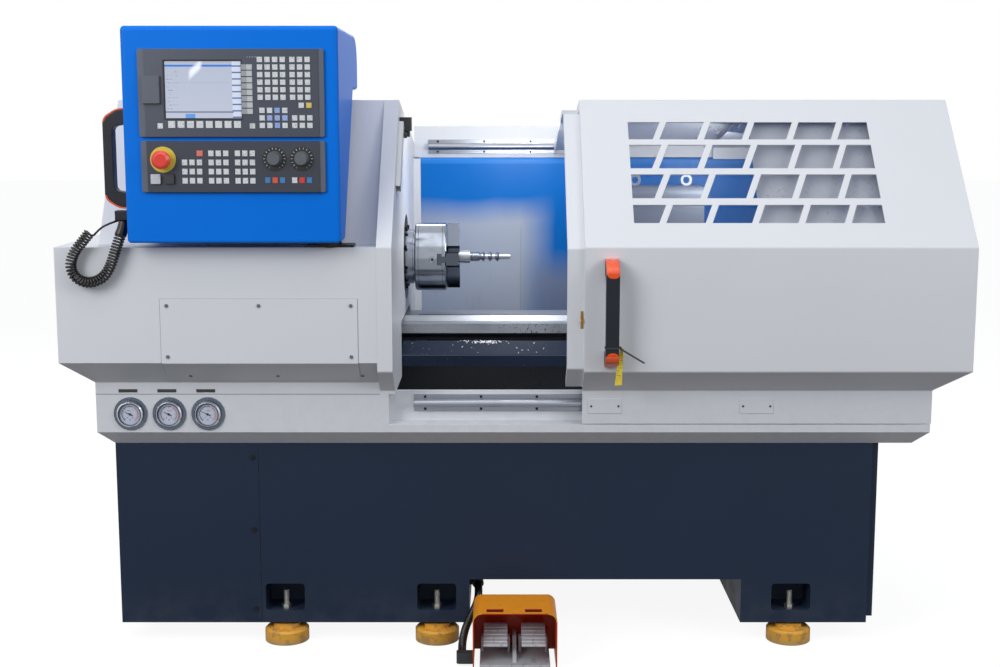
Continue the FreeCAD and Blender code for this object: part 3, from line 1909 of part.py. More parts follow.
def switch_hood():
    """The shroud over the pedals, open in front, with a rounded top."""
    crest_y = switch_front + switch_slope_run
    side = [
        (switch_front, 0.0),
        (switch_front, switch_lip),
        (crest_y, switch_height),
        (switch_back, switch_height - 20.0),
        (switch_back, 0.0),
    ]
    outer = along_x(side, switch_left, switch_right, [0, 0, 20.0, 40.0, 0])
    ends = along_y(
        rectangle(switch_left, switch_right, -40.0, switch_height),
        switch_front,
        switch_back,
        [0, 0, 20.0, 20.0],
    )
    outer = outer.common(ends)
    t = switch_wall
    inner_side = [
        (switch_front - 1, -1.0),
        (switch_front - 1, switch_lip - t),
        (switch_back - t - 30.0, switch_lip - t),
        (switch_back - t, switch_lip - 36.0),
        (switch_back - t, -1.0),
    ]
    inner = along_x(inner_side, switch_left + t, switch_right - t, [0, 0, 10.0, 10.0, 0])
    slots = []
    rate = (switch_height - switch_lip) / switch_slope_run
    y0 = switch_front + 6.0
    y1 = switch_front + 15.0
    z0 = switch_lip + 6.0 * rate
    z1 = switch_lip + 15.0 * rate
    for x in pedal_x:
        slots.append(along_x([(y0, z0 - 2.5), (y0, z0 + 9.0), (y1, z1 + 9.0), (y1, z1 - 2.5)], x - 23.0, x + 23.0))
    return outer.cut([inner] + slots)


def pedal(i):
    """A ribbed foot plate on its pin."""
    x = pedal_x[i]
    half = pedal_width / 2
    side = [
        (-72.0, 52.0),
        (-72.0, 60.0),
        (pedal_pivot_y - 8, 88.0),
        (pedal_pivot_y + 4, 88.0),
        (pedal_pivot_y + 9, pedal_pivot_z),
        (pedal_pivot_y + 4, pedal_pivot_z - 9),
        (pedal_pivot_y - 8, pedal_pivot_z - 8),
        (pedal_pivot_y - 12, 76.0),
    ]
    body = along_x(side, x - half, x + half, [3.0, 3.0, 3.0, 3.0, 6.0, 6.0, 4.0, 8.0])
    grooves = []
    slope = (88.0 - 60.0) / (pedal_pivot_y - 8 + 72.0)
    for k in range(5):
        y = -60.0 + 14.0 * k
        z = 60.0 + slope * (y + 72.0)
        grooves.append(rod_x(x - half - 1, x + half + 1, 1.8, y, z + 0.6))
    bore = rod_x(x - half - 1, x + half + 1, pedal_pin + run_fit, pedal_pivot_y, pedal_pivot_z)
    return body.cut(grooves + [bore])


# door switch on the headstock wall
switch_y = 350.0
switch_z = 1386.0


def door_switch():
    """The limit switch on the headstock's side wall, under the crown."""
    x = column_right
    body = box(x, x + 32.0, switch_y, switch_y + 44.0, switch_z, switch_z + 38.0)
    head = box(x + 5.0, x + 27.0, switch_y + 8.0, switch_y + 36.0, switch_z - 16.0, switch_z + 1.0)
    lever = box(x + 12.0, x + 20.0, switch_y - 14.0, switch_y + 10.0, switch_z - 14.0, switch_z - 8.0)
    roller = rod_x(x + 11.0, x + 21.0, 8.0, switch_y - 14.0, switch_z - 11.0)
    return joined([body, head, lever, roller])


nodes = {
    "pedestal": pedestal,
    "pedestal_panels": lambda: group([pedestal_panel(), pedestal_end_panel()]),
    "case_screws": lambda: group([pedestal_screws(), access_screws()]),
    "foot_pads": foot_pads,
    "foot_studs": foot_studs,
    "chip_tray": tray,
    "gauges": gauge_cases,
    "headstock_wall": column,
    "headstock_covers": lambda: group([headstock_cover(), headstock_hood()]),
    "access_panel": access_panel,
    "guide_rails": lambda: group([rail_bar(rail_face, front_rail_z, -1), rail_bar(beam_face, rear_rail_z, -1)]),
    "rail_bolts": lambda: group([rail_bolts(rail_face, front_rail_z, -1), rail_bolts(beam_face, rear_rail_z, -1)]),
    "right_guard": right_guard,
    "rear_frame": lambda: group([rear_beam(), rear_panel()]),
    "back_wall": back_wall,
    "bed": bed,
    "headstock": headstock,
    "bearing_cap": bearing_cap,
    "screw_guard": screw_guard,
    "cable_fittings": lambda: group([door_switch(), hose_gland(), hose_elbow()]),
    "console_pivot": console_pivot,
    "switch_base": switch_base_plate,
    "switch_hood": switch_hood,
    "pedal_hose": pedal_hose,
    "door_hood": lambda: group([door_hood(), carriage_plates()]),
    "door_frame": door_frame,
    "door_window": door_window,
    "door_handle_grip": lambda: door_handle_block("grip"),
    "door_handle_caps": lambda: door_handle_block("caps"),
    "door_blocks": lambda: group([front_blocks(), rear_blocks()]),
    "spindle": spindle,
    "chuck_body": chuck_body,
    "chuck_jaw_1": lambda: jaw(0),
    "chuck_jaw_2": lambda: jaw(1),
    "chuck_jaw_3": lambda: jaw(2),
    "workpiece": workpiece,
    "ball_screw": ball_screw,
    "saddle": saddle,
    "cross_slide": cross_slide,
    "turret_housing": turret_housing,
    "turret_disc": lambda: group([turret_disc()] + turning_tools()),
    "tailstock": tailstock,
    "quill": quill,
    "tail_wheel": tail_wheel,
    "console_housing": console_housing,
    "console_handle_grip": lambda: group([console_handle("grip"), cord_socket()]),
    "console_handle_caps": lambda: console_handle("caps"),
    "console_panels": lambda: group([display_bezel(), operator_panel(), knob_dials(), port_flap()]),
    "screen": screen,
    "console_keys": lambda: group([display_keys(), operator_keys()]),
    "stop_plate": stop_plate,
    "stop_button": stop_button,
    "override_knob_1": lambda: override_knob(0),
    "override_knob_2": lambda: override_knob(1),
    "lamp_button_1": lambda: lamp_button(0),
    "lamp_button_2": lambda: lamp_button(1),
    "curly_cord_coil": curly_cord_coil,
    "curly_cord_lead": curly_cord_lead,
    "switch_pedal_1": lambda: pedal(0),
    "switch_pedal_2": lambda: pedal(1),
}

# the frame's origin: under the middle of the footprint, on the floor
middle_x = (head_cover_left + hood_right) / 2
middle_y = (console_front - bezel_thick - stop_height + tray_back) / 2
to_origin = FreeCAD.Vector(-middle_x, -middle_y, 0)

for name, make in nodes.items():
    shape = make()
    shape.translate(to_origin)
    shape.exportStep("parts/" + name + ".step")
print(len(nodes), "nodes")
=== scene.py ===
import bpy
import bmesh
import math
import random
from mathutils import Matrix, Vector
from mathutils.bvhtree import BVHTree


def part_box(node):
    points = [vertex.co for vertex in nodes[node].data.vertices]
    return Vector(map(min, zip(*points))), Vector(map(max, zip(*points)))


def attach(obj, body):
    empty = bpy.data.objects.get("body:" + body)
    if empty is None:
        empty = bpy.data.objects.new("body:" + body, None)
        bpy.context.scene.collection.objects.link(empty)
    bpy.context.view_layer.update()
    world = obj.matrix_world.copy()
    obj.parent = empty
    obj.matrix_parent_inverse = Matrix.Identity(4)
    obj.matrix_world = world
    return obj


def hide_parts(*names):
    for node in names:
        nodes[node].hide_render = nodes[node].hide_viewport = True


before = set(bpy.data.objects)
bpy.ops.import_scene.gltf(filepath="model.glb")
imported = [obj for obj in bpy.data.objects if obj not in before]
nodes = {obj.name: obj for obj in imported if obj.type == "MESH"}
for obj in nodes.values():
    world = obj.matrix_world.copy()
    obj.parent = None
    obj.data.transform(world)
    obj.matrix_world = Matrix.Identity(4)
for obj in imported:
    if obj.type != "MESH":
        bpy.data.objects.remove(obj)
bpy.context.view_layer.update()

zero = (41.5, 486.5)  # mm from the drawing's zero, at the door post's foot, to the middle of the footprint


def spot(x, y, z):
    return Vector(((x - zero[0]) / 1000, (y - zero[1]) / 1000, z / 1000))


def tint(*colour):  # a colour as it shows on a screen
    return tuple(c / 12.92 if c <= 0.04045 else ((c + 0.055) / 1.055) ** 2.4 for c in colour) + (1.0,)


def shaded(colour, share, lift=0.0):
    return tuple(min(1.0, c * share + lift) for c in colour[:3]) + (1.0,)


class Wire:
    def __init__(self, net, socket):
        self.net = net
        self.socket = socket

    def maths(self, kind, *others):
        return self.net.maths(kind, self, *others)

    def wave(self, pitch):
        return (self * (2 * math.pi / pitch)).maths("SINE")

    def __add__(self, other):
        return self.maths("ADD", other)

    def __sub__(self, other):
        return self.maths("SUBTRACT", other)

    def __rsub__(self, other):
        return self.net.maths("SUBTRACT", other, self)

    def __mul__(self, other):
        return self.maths("MULTIPLY", other)

    def __pow__(self, other):
        return self.maths("POWER", other)

    __radd__ = __add__
    __rmul__ = __mul__


class Net:
    def __init__(self, tree):
        self.tree = tree
        self.tree.nodes.clear()

    def feed(self, node, values):  # wires are linked, other values are set
        for key, value in values.items():
            if isinstance(value, Wire):
                self.tree.links.new(value.socket, node.inputs[key])
            else:
                node.inputs[key].default_value = value

    def add(self, kind, settings=None, values=None, out=0):
        node = self.tree.nodes.new(kind)
        for key, value in (settings or {}).items():
            setattr(node, key, value)
        self.feed(node, values or {})
        return Wire(self, node.outputs[out] if node.outputs else None)

    def maths(self, kind, *values):
        return self.add("ShaderNodeMath", {"operation": kind}, dict(enumerate(values)))


class Finish(Net):
    def __init__(self, name, **fixed):
        self.material = bpy.data.materials.new(name)
        self.material.use_nodes = True
        super().__init__(self.material.node_tree)
        self.shader = self.tree.nodes.new("ShaderNodeBsdfPrincipled")
        self.end = self.tree.nodes.new("ShaderNodeOutputMaterial")
        self.tree.links.new(self.shader.outputs[0], self.end.inputs[0])
        self.feed(self.shader, {words.replace("_", " "): value for words, value in fixed.items()})
        self.coord = self.add("ShaderNodeTexCoord", out="Object")
        parts = self.add("ShaderNodeSeparateXYZ", values={0: self.coord}).socket.node.outputs
        x, y, self.z = (Wire(self, part) * 1000 for part in parts)
        self.x, self.y = x + zero[0], y + zero[1]  # mm, on the drawing's own zero

    def ramp(self, value, low, high):  # 0 at low, 1 at high
        steep = 1 / (high - low)
        settings = {"operation": "MULTIPLY_ADD", "use_clamp": True}
        return self.add("ShaderNodeMath", settings, {0: value, 1: steep, 2: -low * steep})

    def between(self, value, low, high, soft=0.4):
        return self.ramp(value, low - soft / 2, low + soft / 2) * self.ramp(value, high + soft / 2, high - soft / 2)

    def area(self, across, down, xs, zs, soft=0.4):
        return self.between(across, *xs, soft) * self.between(down, *zs, soft)

    def noise(self, scale, detail=3.0, stretch=None, rough=0.55):
        where = self.coord
        if stretch:
            where = self.add("ShaderNodeVectorMath", {"operation": "MULTIPLY"}, {0: where, 1: stretch})
        values = {"Vector": where, "Scale": scale, "Detail": detail, "Roughness": rough}
        return self.add("ShaderNodeTexNoise", {}, values)

    def mix(self, share, first, second):
        return self.add("ShaderNodeMix", {"data_type": "RGBA"}, {0: share, 6: first, 7: second}, out=2)

    def polar(self, a, b, a0, b0):  # radius and angle about a point
        a = a - a0
        b = b - b0
        return (a * a + b * b) ** 0.5, b.maths("ARCTAN2", a)

    def edges(self, reach):  # 1 where the surface turns
        soft = self.add("ShaderNodeBevel", {"samples": 4}, {"Radius": reach})
        true = self.add("ShaderNodeNewGeometry", out="Normal")
        same = self.add("ShaderNodeVectorMath", {"operation": "DOT_PRODUCT"}, {0: soft, 1: true}, out=1)
        return self.ramp(same, 0.97, 0.86)

    def done(self, colour, rough, height=None, depth=0.0002, rounding=0.0012, **others):
        names = {"metal": "Metallic", "coat": "Coat Weight", "glow": "Emission Color", "alpha": "Alpha"}
        fields = {"Base Color": colour, "Roughness": rough, **{names[key]: value for key, value in others.items()}}
        if rounding:
            fields["Normal"] = self.add("ShaderNodeBevel", {"samples": 4}, {"Radius": rounding})
        if height:
            bump = {"Strength": 1.0, "Distance": depth, "Height": height}
            if rounding:
                bump["Normal"] = fields["Normal"]
            fields["Normal"] = self.add("ShaderNodeBump", {}, bump)
        self.feed(self.shader, fields)
        return self.material


# finishes of the painted sheet metal

mist = (760, 560)  # where coolant mist starts to settle on the faces, and where it is thickest


def sheetPaint(name, colour, gloss, grime):
    f = Finish(name)
    cloud = f.noise(2.2, 4)
    fine = f.noise(38, 5)
    low = f.ramp(f.z, *mist) * f.ramp(fine, 0.42, 0.7)
    shade = f.mix(f.ramp(cloud, 0.3, 0.7) * 0.5, colour, shaded(colour, 0.955))
    shade = f.mix(low * grime, shade, shaded(colour, 0.8))
    seam = f.edges(0.0022) * f.ramp(f.noise(70, 4), 0.35, 0.62)
    shade = f.mix(seam * 0.22, shade, shaded(colour, 0.7))
    return f, shade, gloss + 0.12 * f.ramp(fine, 0.3, 0.75), f.noise(520, 2)


finishes = {}
whites = {"colour": tint(0.875, 0.885, 0.905), "gloss": 0.34, "grime": 0.35}
f, shade, rough, peel = sheetPaint("powderWhite", **whites)
screws = {
    "apron": (242.0, 314.0, 645.0, 717.0), "apronZ": 665.0, "apronY": (78.4, 78.1), "head": 3.3,
    "bevel": (-812.0, -583.0, -361.0), "bevelZ": 751.0, "bevelY": (2, 60), "squash": 1.3,  # under the screwed panel
    "rear": (-270.0, 8.0, 280.0, 552.0, 824.0, 1096.0), "rearZ": (722.0, 1270.0), "rearY": (1074.0, 1074.6),
}
heads = 0
for x in screws["apron"]:
    radius = f.polar(f.x, f.z, x, screws["apronZ"])[0]
    heads = heads + f.ramp(radius, screws["head"], screws["head"] - 0.3) * f.ramp(f.y, *screws["apronY"])
for x in screws["bevel"]:
    radius = f.polar(f.x, f.z * screws["squash"], x, screws["bevelZ"] * screws["squash"])[0]
    heads = heads + f.between(radius, 1.6, 4.6) * f.between(f.y, *screws["bevelY"])
for z in screws["rearZ"]:
    for x in screws["rear"]:
        radius = f.polar(f.x, f.z, x, z)[0]
        heads = heads + f.ramp(radius, 4.4, 4.1) * f.ramp(f.y, *screws["rearY"])
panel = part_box("access_panel")
left, right, top = panel[0][0] * 1000 + zero[0], panel[1][0] * 1000 + zero[0], panel[1][2] * 1000
# a painted shadow: the dark line in the gap around the access panel
outer, inner = (
    f.area(f.x, f.z, (left - gap, right + gap), (low, top + gap)) for gap, low in ((1.5, 700), (0.2, 690))
)
gapShadow = (outer - inner) * f.ramp(f.y, 60, 40)
fold = {"z": (696.2, 698.0), "y": (79, 81), "x": (-318, -320)}  # the line above the gauges
seam = f.between(f.z, *fold["z"]) * f.between(f.y, *fold["y"]) * f.ramp(f.x, *fold["x"])
shade = f.mix(gapShadow * 0.65, shade, tint(0.36, 0.38, 0.42))
shade = f.mix(seam * 0.8, shade, tint(0.30, 0.32, 0.36))
shade = f.mix(heads, shade, tint(0.16, 0.17, 0.19))
finishes["white"] = f.done(shade, rough, height=peel, depth=0.00006)

f, shade, rough, peel = sheetPaint("postWhite", **whites)
latch = {"x": (208, 216), "y": (12.4, 12.0), "z": (882, 928)}
catch = f.area(f.x, f.z, latch["x"], latch["z"]) * f.ramp(f.y, *latch["y"])
shade = f.mix(catch, shade, tint(0.62, 0.46, 0.22))
finishes["post"] = f.done(shade, rough, metal=catch, height=peel, depth=0.00006)

navies = {"colour": tint(0.080, 0.140, 0.225), "dust": tint(0.30, 0.32, 0.36), "scuff": tint(0.30, 0.33, 0.39)}
f = Finish("pedestalNavy", Specular_IOR_Level=0.28)
grain = f.noise(300, 4)
dust = f.ramp(f.z, 190, 52) * f.ramp(f.noise(16, 6), 0.38, 0.72)
scuff = f.ramp(f.noise(7, 8, (3.0, 3.0, 16.0), 0.7), 0.66, 0.74) * f.ramp(f.z, 420, 120)
chip = f.edges(0.003) * f.ramp(f.noise(44, 5), 0.5, 0.6)
shade = f.mix(f.ramp(f.noise(1.7, 3), 0.3, 0.7) * 0.6, navies["colour"], tint(0.100, 0.160, 0.245))
shade = f.mix(dust * 0.30, shade, navies["dust"])
shade = f.mix(scuff * 0.35, shade, navies["scuff"])
shade = f.mix(chip * 0.35, shade, navies["scuff"])
finishes["navy"] = f.done(shade, 0.40 + 0.18 * grain + dust * 0.2, height=grain, depth=0.00012)

blues = {"console": tint(0.0, 0.462, 0.900), "wall": tint(0.0, 0.440, 0.790)}
f = Finish("consoleBlue", Coat_Roughness=0.2, Specular_IOR_Level=0.12)
flake = f.noise(240, 3)
shade = f.mix(f.ramp(f.noise(3, 3), 0.3, 0.7) * 0.35, blues["console"], tint(0.0, 0.43, 0.86))
# lighter edges and bends of the console: painted highlight
shade = f.mix(f.edges(0.002) * 0.3, shade, tint(0.30, 0.60, 0.93))
finishes["blue"] = f.done(shade, 0.38 + 0.10 * flake, height=flake, depth=0.00008, coat=0.03, rounding=0.003)

# coolant runs and splashes on the wall, with painted light among them
coolantAndLight = {
    "paleReflection": (1215, 1130), "paleReflectionX": (205, 95), "foot": (1030, 925), "footX": (60, 150), "splash": (1150, 760),
    "runs": (((66, 69), (1090, 1060), 1.0), ((78, 79.5), (1010, 990), 0.5)), "edge": (1276, 1280),
}
f = Finish("wallBlue", Specular_IOR_Level=0.22)
cloud = f.noise(2.4, 3)
splash = f.ramp(f.noise(26, 7, (1.0, 1.0, 0.35)), 0.58, 0.72)
# a pale painted reflection over the wall's lower left
paleReflection = f.ramp(f.z + 90 * cloud, *coolantAndLight["paleReflection"]) * f.ramp(f.x + 70 * cloud, *coolantAndLight["paleReflectionX"])
run = sum(f.between(f.x, *across) * f.ramp(f.z, *down) * share for across, down, share in coolantAndLight["runs"])
# a grey painted reflection, darker as painted shade, low on the wall's right
foot = f.ramp(f.z + 60 * cloud, *coolantAndLight["foot"])
shade = f.mix(f.ramp(cloud, 0.3, 0.7) * 0.4, blues["wall"], tint(0.0, 0.40, 0.74))
# a lighter band along the wall's top fold: painted highlight
shade = f.mix(f.ramp(f.z, *coolantAndLight["edge"]) * 0.6, shade, tint(0.22, 0.55, 0.88))
shade = f.mix(paleReflection * 0.93, shade, f.mix(f.ramp(f.x, -260, 60), tint(0.66, 0.70, 0.78), tint(0.73, 0.76, 0.81)))
shade = f.mix(foot * f.ramp(f.x, *coolantAndLight["footX"]) * 0.85, shade, tint(0.53, 0.57, 0.66))
shade = f.mix(splash * f.ramp(f.z, *coolantAndLight["splash"]) * 0.25, shade, tint(0.45, 0.52, 0.62))
shade = f.mix(run * 0.35, shade, tint(0.46, 0.50, 0.58))
finishes["wall"] = f.done(shade, 0.30 + 0.25 * splash, height=f.noise(300, 2), depth=0.00008)

guards = {"colour": tint(0.120, 0.165, 0.250), "chip": tint(0.72, 0.73, 0.74), "z": (754.5, 756.6), "y": (366, 364)}
f = Finish("guardGrey", Specular_IOR_Level=0.15)
chip = f.ramp(f.noise(160, 3), 0.66, 0.70) * f.ramp(f.noise(11, 3), 0.4, 0.62)
shade = f.mix(f.ramp(f.noise(5, 4, (0.3, 1, 1)), 0.3, 0.7), guards["colour"], tint(0.150, 0.200, 0.290))
shade = f.mix(chip * 0.35, shade, guards["chip"])
# a lighter line along the guard's fold: painted highlight
fold = f.between(f.z, *guards["z"], 0.8) * f.ramp(f.y, *guards["y"])
shade = f.mix(fold * 0.55, shade, tint(0.50, 0.56, 0.64))
finishes["guard"] = f.done(shade, 0.42 + 0.2 * chip, height=f.noise(260, 3), depth=0.0001)

pads = {"colour": tint(0.93, 0.68, 0.24), "bare": tint(0.46, 0.40, 0.33), "dust": tint(0.62, 0.57, 0.48)}
f = Finish("padYellow")
wear = f.ramp(f.noise(40, 6), 0.52, 0.60)
shade = f.mix(wear * 0.45 + f.edges(0.003) * 0.3, pads["colour"], pads["bare"])
shade = f.mix(f.ramp(f.z, 20, 2) * 0.5, shade, pads["dust"])
finishes["pad"] = f.done(shade, 0.45 + 0.25 * wear, height=f.noise(120, 5), depth=0.0005, rounding=0.0015)

# the inside faces take a darker copy of the orange as painted shade
shroud = {
    "shroud": (tint(0.95, 0.600, 0.115), tint(0.74, 0.42, 0.10)),
    "shroudInsideShade": (tint(0.78, 0.215, 0.03), tint(0.45, 0.12, 0.03)),
}
for name, (colour, bare) in shroud.items():
    f = Finish(name, Specular_IOR_Level=0.4)
    wear = f.ramp(f.noise(60, 5), 0.60, 0.68)
    shade = f.mix(wear * 0.3, colour, bare)
    # lighter edges: painted highlight
    shade = f.mix(f.edges(0.002) * 0.3, shade, tint(0.97, 0.72, 0.34))
    shade = f.mix(f.ramp(f.z, 40, 5) * 0.4, shade, bare)
    finishes[name] = f.done(shade, 0.36 + 0.2 * wear, height=f.noise(200, 3), depth=0.00015, rounding=0.002)
print("paints ready")


# finishes of the metals

axis = {"y": 595.0, "z": 1015.0}  # the spindle's


def steelRings(name, colour, lines=9.0, polish=0.22, oil=0.25):
    f = Finish(name)
    radius = f.polar(f.y, f.z, axis["y"], axis["z"])[0]
    ring, along = (
        f.add("ShaderNodeTexNoise", {"noise_dimensions": "1D"}, {"W": where, "Scale": scale, "Detail": 4.0})
        for where, scale in ((radius, lines), (f.x, lines * 0.7))
    )
    both = ring * 0.5 + along * 0.5
    stain = f.ramp(f.noise(18, 5), 0.5, 0.72)
    shade = f.mix(both, shaded(colour, 0.78), colour)
    shade = f.mix(stain * oil, shade, tint(0.36, 0.33, 0.30))
    return f, shade, polish + 0.22 * both + 0.12 * stain, both


f, shade, rough, both = steelRings("jawSteel", tint(0.40, 0.43, 0.48), polish=0.12)
finishes["jaw"] = f.done(shade, rough * 0.9, metal=1.0, height=both, depth=0.00004)
f, shade, rough, both = steelRings("chuckSteel", tint(0.64, 0.67, 0.72), polish=0.08)
grooves = ((-238.6, -237.4), (-168.6, -167.4), (-163.4, -162.6))
groove = sum(f.between(f.x, *ends) for ends in grooves)
shade = f.mix(groove * 0.8, shade, tint(0.10, 0.11, 0.13))
finishes["chuck"] = f.done(shade, rough * 0.8, metal=1.0, height=both * 0.5 - groove, depth=0.00008)
f, shade, rough, both = steelRings("workSteel", tint(0.72, 0.74, 0.77), lines=16, polish=0.14, oil=0.08)
finishes["work"] = f.done(shade, rough, metal=1.0, height=both, depth=0.00005, rounding=0.0004)

f = Finish("groundSteel", Metallic=1.0)
streak = f.noise(30, 4, (0.15, 22.0, 22.0))
stain = f.ramp(f.noise(12, 5), 0.5, 0.7)
shade = f.mix(streak, tint(0.50, 0.52, 0.56), tint(0.66, 0.68, 0.72))
shade = f.mix(stain * 0.25, shade, tint(0.40, 0.38, 0.35))
finishes["ground"] = f.done(shade, 0.20 + 0.2 * streak + 0.1 * stain, height=streak, depth=0.00006)

beds = {
    "way": tint(0.74, 0.76, 0.79), "paint": tint(0.15, 0.17, 0.21), "oil": tint(0.20, 0.18, 0.15),
    "top": (806.5, 807.5), "depth": (444, 746), "drops": (10, 175),
}
f = Finish("bedIron")
ground = f.ramp(f.z, *beds["top"]) * f.between(f.y, *beds["depth"])
streak = f.noise(26, 4, (0.12, 20.0, 20.0))
swarf = f.ramp(f.noise(140, 4), 0.60, 0.66) * f.ramp(f.noise(9, 3, (0.5, 1, 1)), 0.45, 0.65)
paint = f.mix(f.noise(5, 4), beds["paint"], tint(0.10, 0.115, 0.14))
shade = f.mix(ground, paint, f.mix(streak, tint(0.60, 0.62, 0.66), beds["way"]))
drops = f.ramp(f.noise(150, 3), 0.60, 0.63) * f.between(f.x, *beds["drops"], 60) * f.ramp(f.y, 500, 480)
shade = f.mix(swarf * ground * 0.4, shade, tint(0.86, 0.87, 0.88))
shade = f.mix(drops * 0.9, shade, tint(0.08, 0.08, 0.09))
shade = f.mix(f.ramp(f.noise(7, 6), 0.55, 0.75) * 0.3, shade, beds["oil"])
finishes["bed"] = f.done(shade, 0.26 + 0.22 * streak, metal=ground * 0.45, height=streak + swarf, depth=0.00015)

f = Finish("machinedIron", Metallic=0.9)
streak = f.noise(34, 4, (18.0, 0.3, 18.0))
shade = f.mix(streak, tint(0.50, 0.51, 0.53), tint(0.68, 0.69, 0.70))
shade = f.mix(f.ramp(f.noise(9, 5), 0.52, 0.72) * 0.4, shade, beds["oil"])
finishes["iron"] = f.done(shade, 0.28 + 0.25 * streak, height=streak, depth=0.0001, rounding=0.002)

f = Finish("castGrey")
pit = f.noise(180, 5)
rub = f.edges(0.003) * 0.6 + f.ramp(f.noise(30, 5), 0.6, 0.7) * 0.3
shade = f.mix(f.noise(12, 3), tint(0.66, 0.67, 0.69), tint(0.76, 0.77, 0.79))
shade = f.mix(rub, shade, tint(0.88, 0.88, 0.89))
shade = f.mix(f.ramp(f.noise(48, 6, (1.6, 0.5, 1)), 0.58, 0.66) * 0.4, shade, tint(0.36, 0.37, 0.39))
finishes["cast"] = f.done(shade, 0.40 + 0.2 * pit, metal=0.25, height=pit, depth=0.0005, rounding=0.002)

f = Finish("blackSteel", Metallic=0.75)
shade = f.mix(f.noise(90, 4), tint(0.09, 0.09, 0.10), tint(0.16, 0.16, 0.17))
shade = f.mix(f.edges(0.0015) * 0.5, shade, tint(0.42, 0.42, 0.43))
finishes["black"] = f.done(shade, 0.34 + 0.15 * f.noise(60, 3), height=f.noise(300, 3), depth=0.00008, rounding=0.0006)

f = Finish("screwHeads", Metallic=0.8)
# the heads' rims are darker than their middles: painted shade
rimShade = f.edges(0.0016)
shade = f.mix(rimShade, f.mix(f.noise(160, 3), tint(0.36, 0.38, 0.42), tint(0.52, 0.54, 0.58)), tint(0.07, 0.075, 0.09))
shade = f.mix(f.ramp(f.z, 590, 580) * 0.9, shade, tint(0.035, 0.04, 0.055))  # black ones on the pedestal
finishes["heads"] = f.done(shade, 0.26 + 0.1 * f.noise(60, 3), height=f.noise(300, 3), depth=0.00005, rounding=0.0006)

f = Finish("turretGrey")
pit = f.noise(210, 4)
rub = f.edges(0.0025) * 0.5 + f.ramp(f.noise(34, 5), 0.62, 0.72) * 0.25
shade = f.mix(f.noise(9, 4), tint(0.43, 0.46, 0.51), tint(0.52, 0.55, 0.60))
shade = f.mix(rub, shade, tint(0.74, 0.76, 0.79))
eyes = f.ramp(f.z, 1215.5, 1216.5)  # the lifting eyes are bare
shade = f.mix(eyes, shade, tint(0.66, 0.68, 0.70))
finishes["turret"] = f.done(shade, 0.36 + 0.2 * pit, metal=0.25 + 0.6 * eyes, height=pit, depth=0.0002, rounding=0.0015)

f = Finish("zincStud", Metallic=1.0)
thread = f.z.wave(2.0) * f.ramp(f.z, 100.3, 100.8)
shade = f.mix(f.noise(90, 3), tint(0.62, 0.62, 0.60), tint(0.80, 0.80, 0.78))
finishes["zinc"] = f.done(shade, 0.3 + 0.15 * f.noise(60, 2), height=thread, depth=0.0006, rounding=0.0004)

f = Finish("brightChips", Metallic=0.85)
shade = f.mix(f.ramp(f.noise(160, 3), 0.35, 0.65), tint(0.70, 0.72, 0.75), tint(0.95, 0.96, 0.97))
finishes["chips"] = f.done(shade, 0.24 + 0.2 * f.noise(90, 2), height=f.noise(700, 2), depth=0.00004, rounding=0)

feed = {"y": 430, "z": 752, "lead": 10}  # the ball screw
f = Finish("screwThread", Metallic=1.0)
angle = f.polar(f.y, f.z, feed["y"], feed["z"])[1]
groove = f.ramp((f.x * (2 * math.pi / feed["lead"]) + angle).maths("SINE"), -0.4, 0.5)
shade = f.mix(groove, tint(0.20, 0.18, 0.16), tint(0.66, 0.67, 0.68))
finishes["thread"] = f.done(shade, 0.3 + 0.2 * f.noise(40, 3), height=groove, depth=0.002, rounding=0)

f = Finish("chromeRim", Metallic=1.0)
shade = f.mix(f.noise(8, 3), tint(0.80, 0.81, 0.83), tint(0.90, 0.91, 0.93))
finishes["chrome"] = f.done(shade, 0.08 + 0.10 * f.noise(50, 4), height=f.noise(200, 2), depth=0.00002)

dials = {
    "first": -981.0, "pitch": 103.0, "z": 645.0, "face": 28.8, "scale": 20.4, "front": (69.6, 70.0),
    "needle": (64.6, 69.4), "shadow": (23.6, 27.6), "lip": (30.6, 34.8), "flange": (34.6, 35.2),
    "marks": ((-6.5, -9.5, 1.8), (6.5, -9.5, 1.8), (0.0, -15.5, 2.2)), "row": (8.2, 10.4),
}
f = Finish("gaugeFace")
across = (f.x - dials["first"]).maths("WRAP", -dials["pitch"] / 2, dials["pitch"] / 2)
radius, angle = f.polar(across, f.z, 0, dials["z"])
inside = f.ramp(radius, dials["face"] + 0.1, dials["face"] - 0.1)
face = inside * f.ramp(f.y, *dials["front"])
needle = inside * f.between(f.y, *dials["needle"], 0.2)
around = (angle + math.pi / 2).maths("ABSOLUTE")
scaled = f.ramp(around, 0.62, 0.66)  # the scale leaves its foot open
minor = f.ramp((angle * 40).maths("COSINE"), 0.45, 0.65) * f.between(radius, dials["scale"] - 2.6, dials["scale"])
major = f.ramp((angle * 8).maths("COSINE"), 0.97, 0.985) * f.between(radius, dials["scale"] - 5.0, dials["scale"])
plainArc = (1 - f.between(angle, -0.9, 1.2, 0.05)) * scaled
arc = f.between(radius, dials["scale"], dials["scale"] + 2.0) * plainArc
ink = ((minor + major) * 0.7 * scaled + arc * 2).maths("MINIMUM", 1.0) * face
warm = f.between(radius, dials["scale"] + 0.2, dials["scale"] + 2.4) * f.between(angle, -0.75, 1.05, 0.03) * face
lipShade = f.ramp(radius, *dials["shadow"]) * face * f.ramp(f.z, dials["z"] - 26, dials["z"] + 4)
marks = 0
for a, b, wide in dials["marks"]:
    marks = marks + f.ramp(f.polar(across, f.z, a, dials["z"] + b)[0], wide, wide - 0.5)
row = f.between(f.z, *(dials["z"] + z for z in dials["row"])) * f.between(across, -8, 8)
row = row * f.ramp(f.noise(420, 1), 0.42, 0.5)
flange = f.ramp(radius, *dials["flange"])
lip = f.between(radius, *dials["lip"])
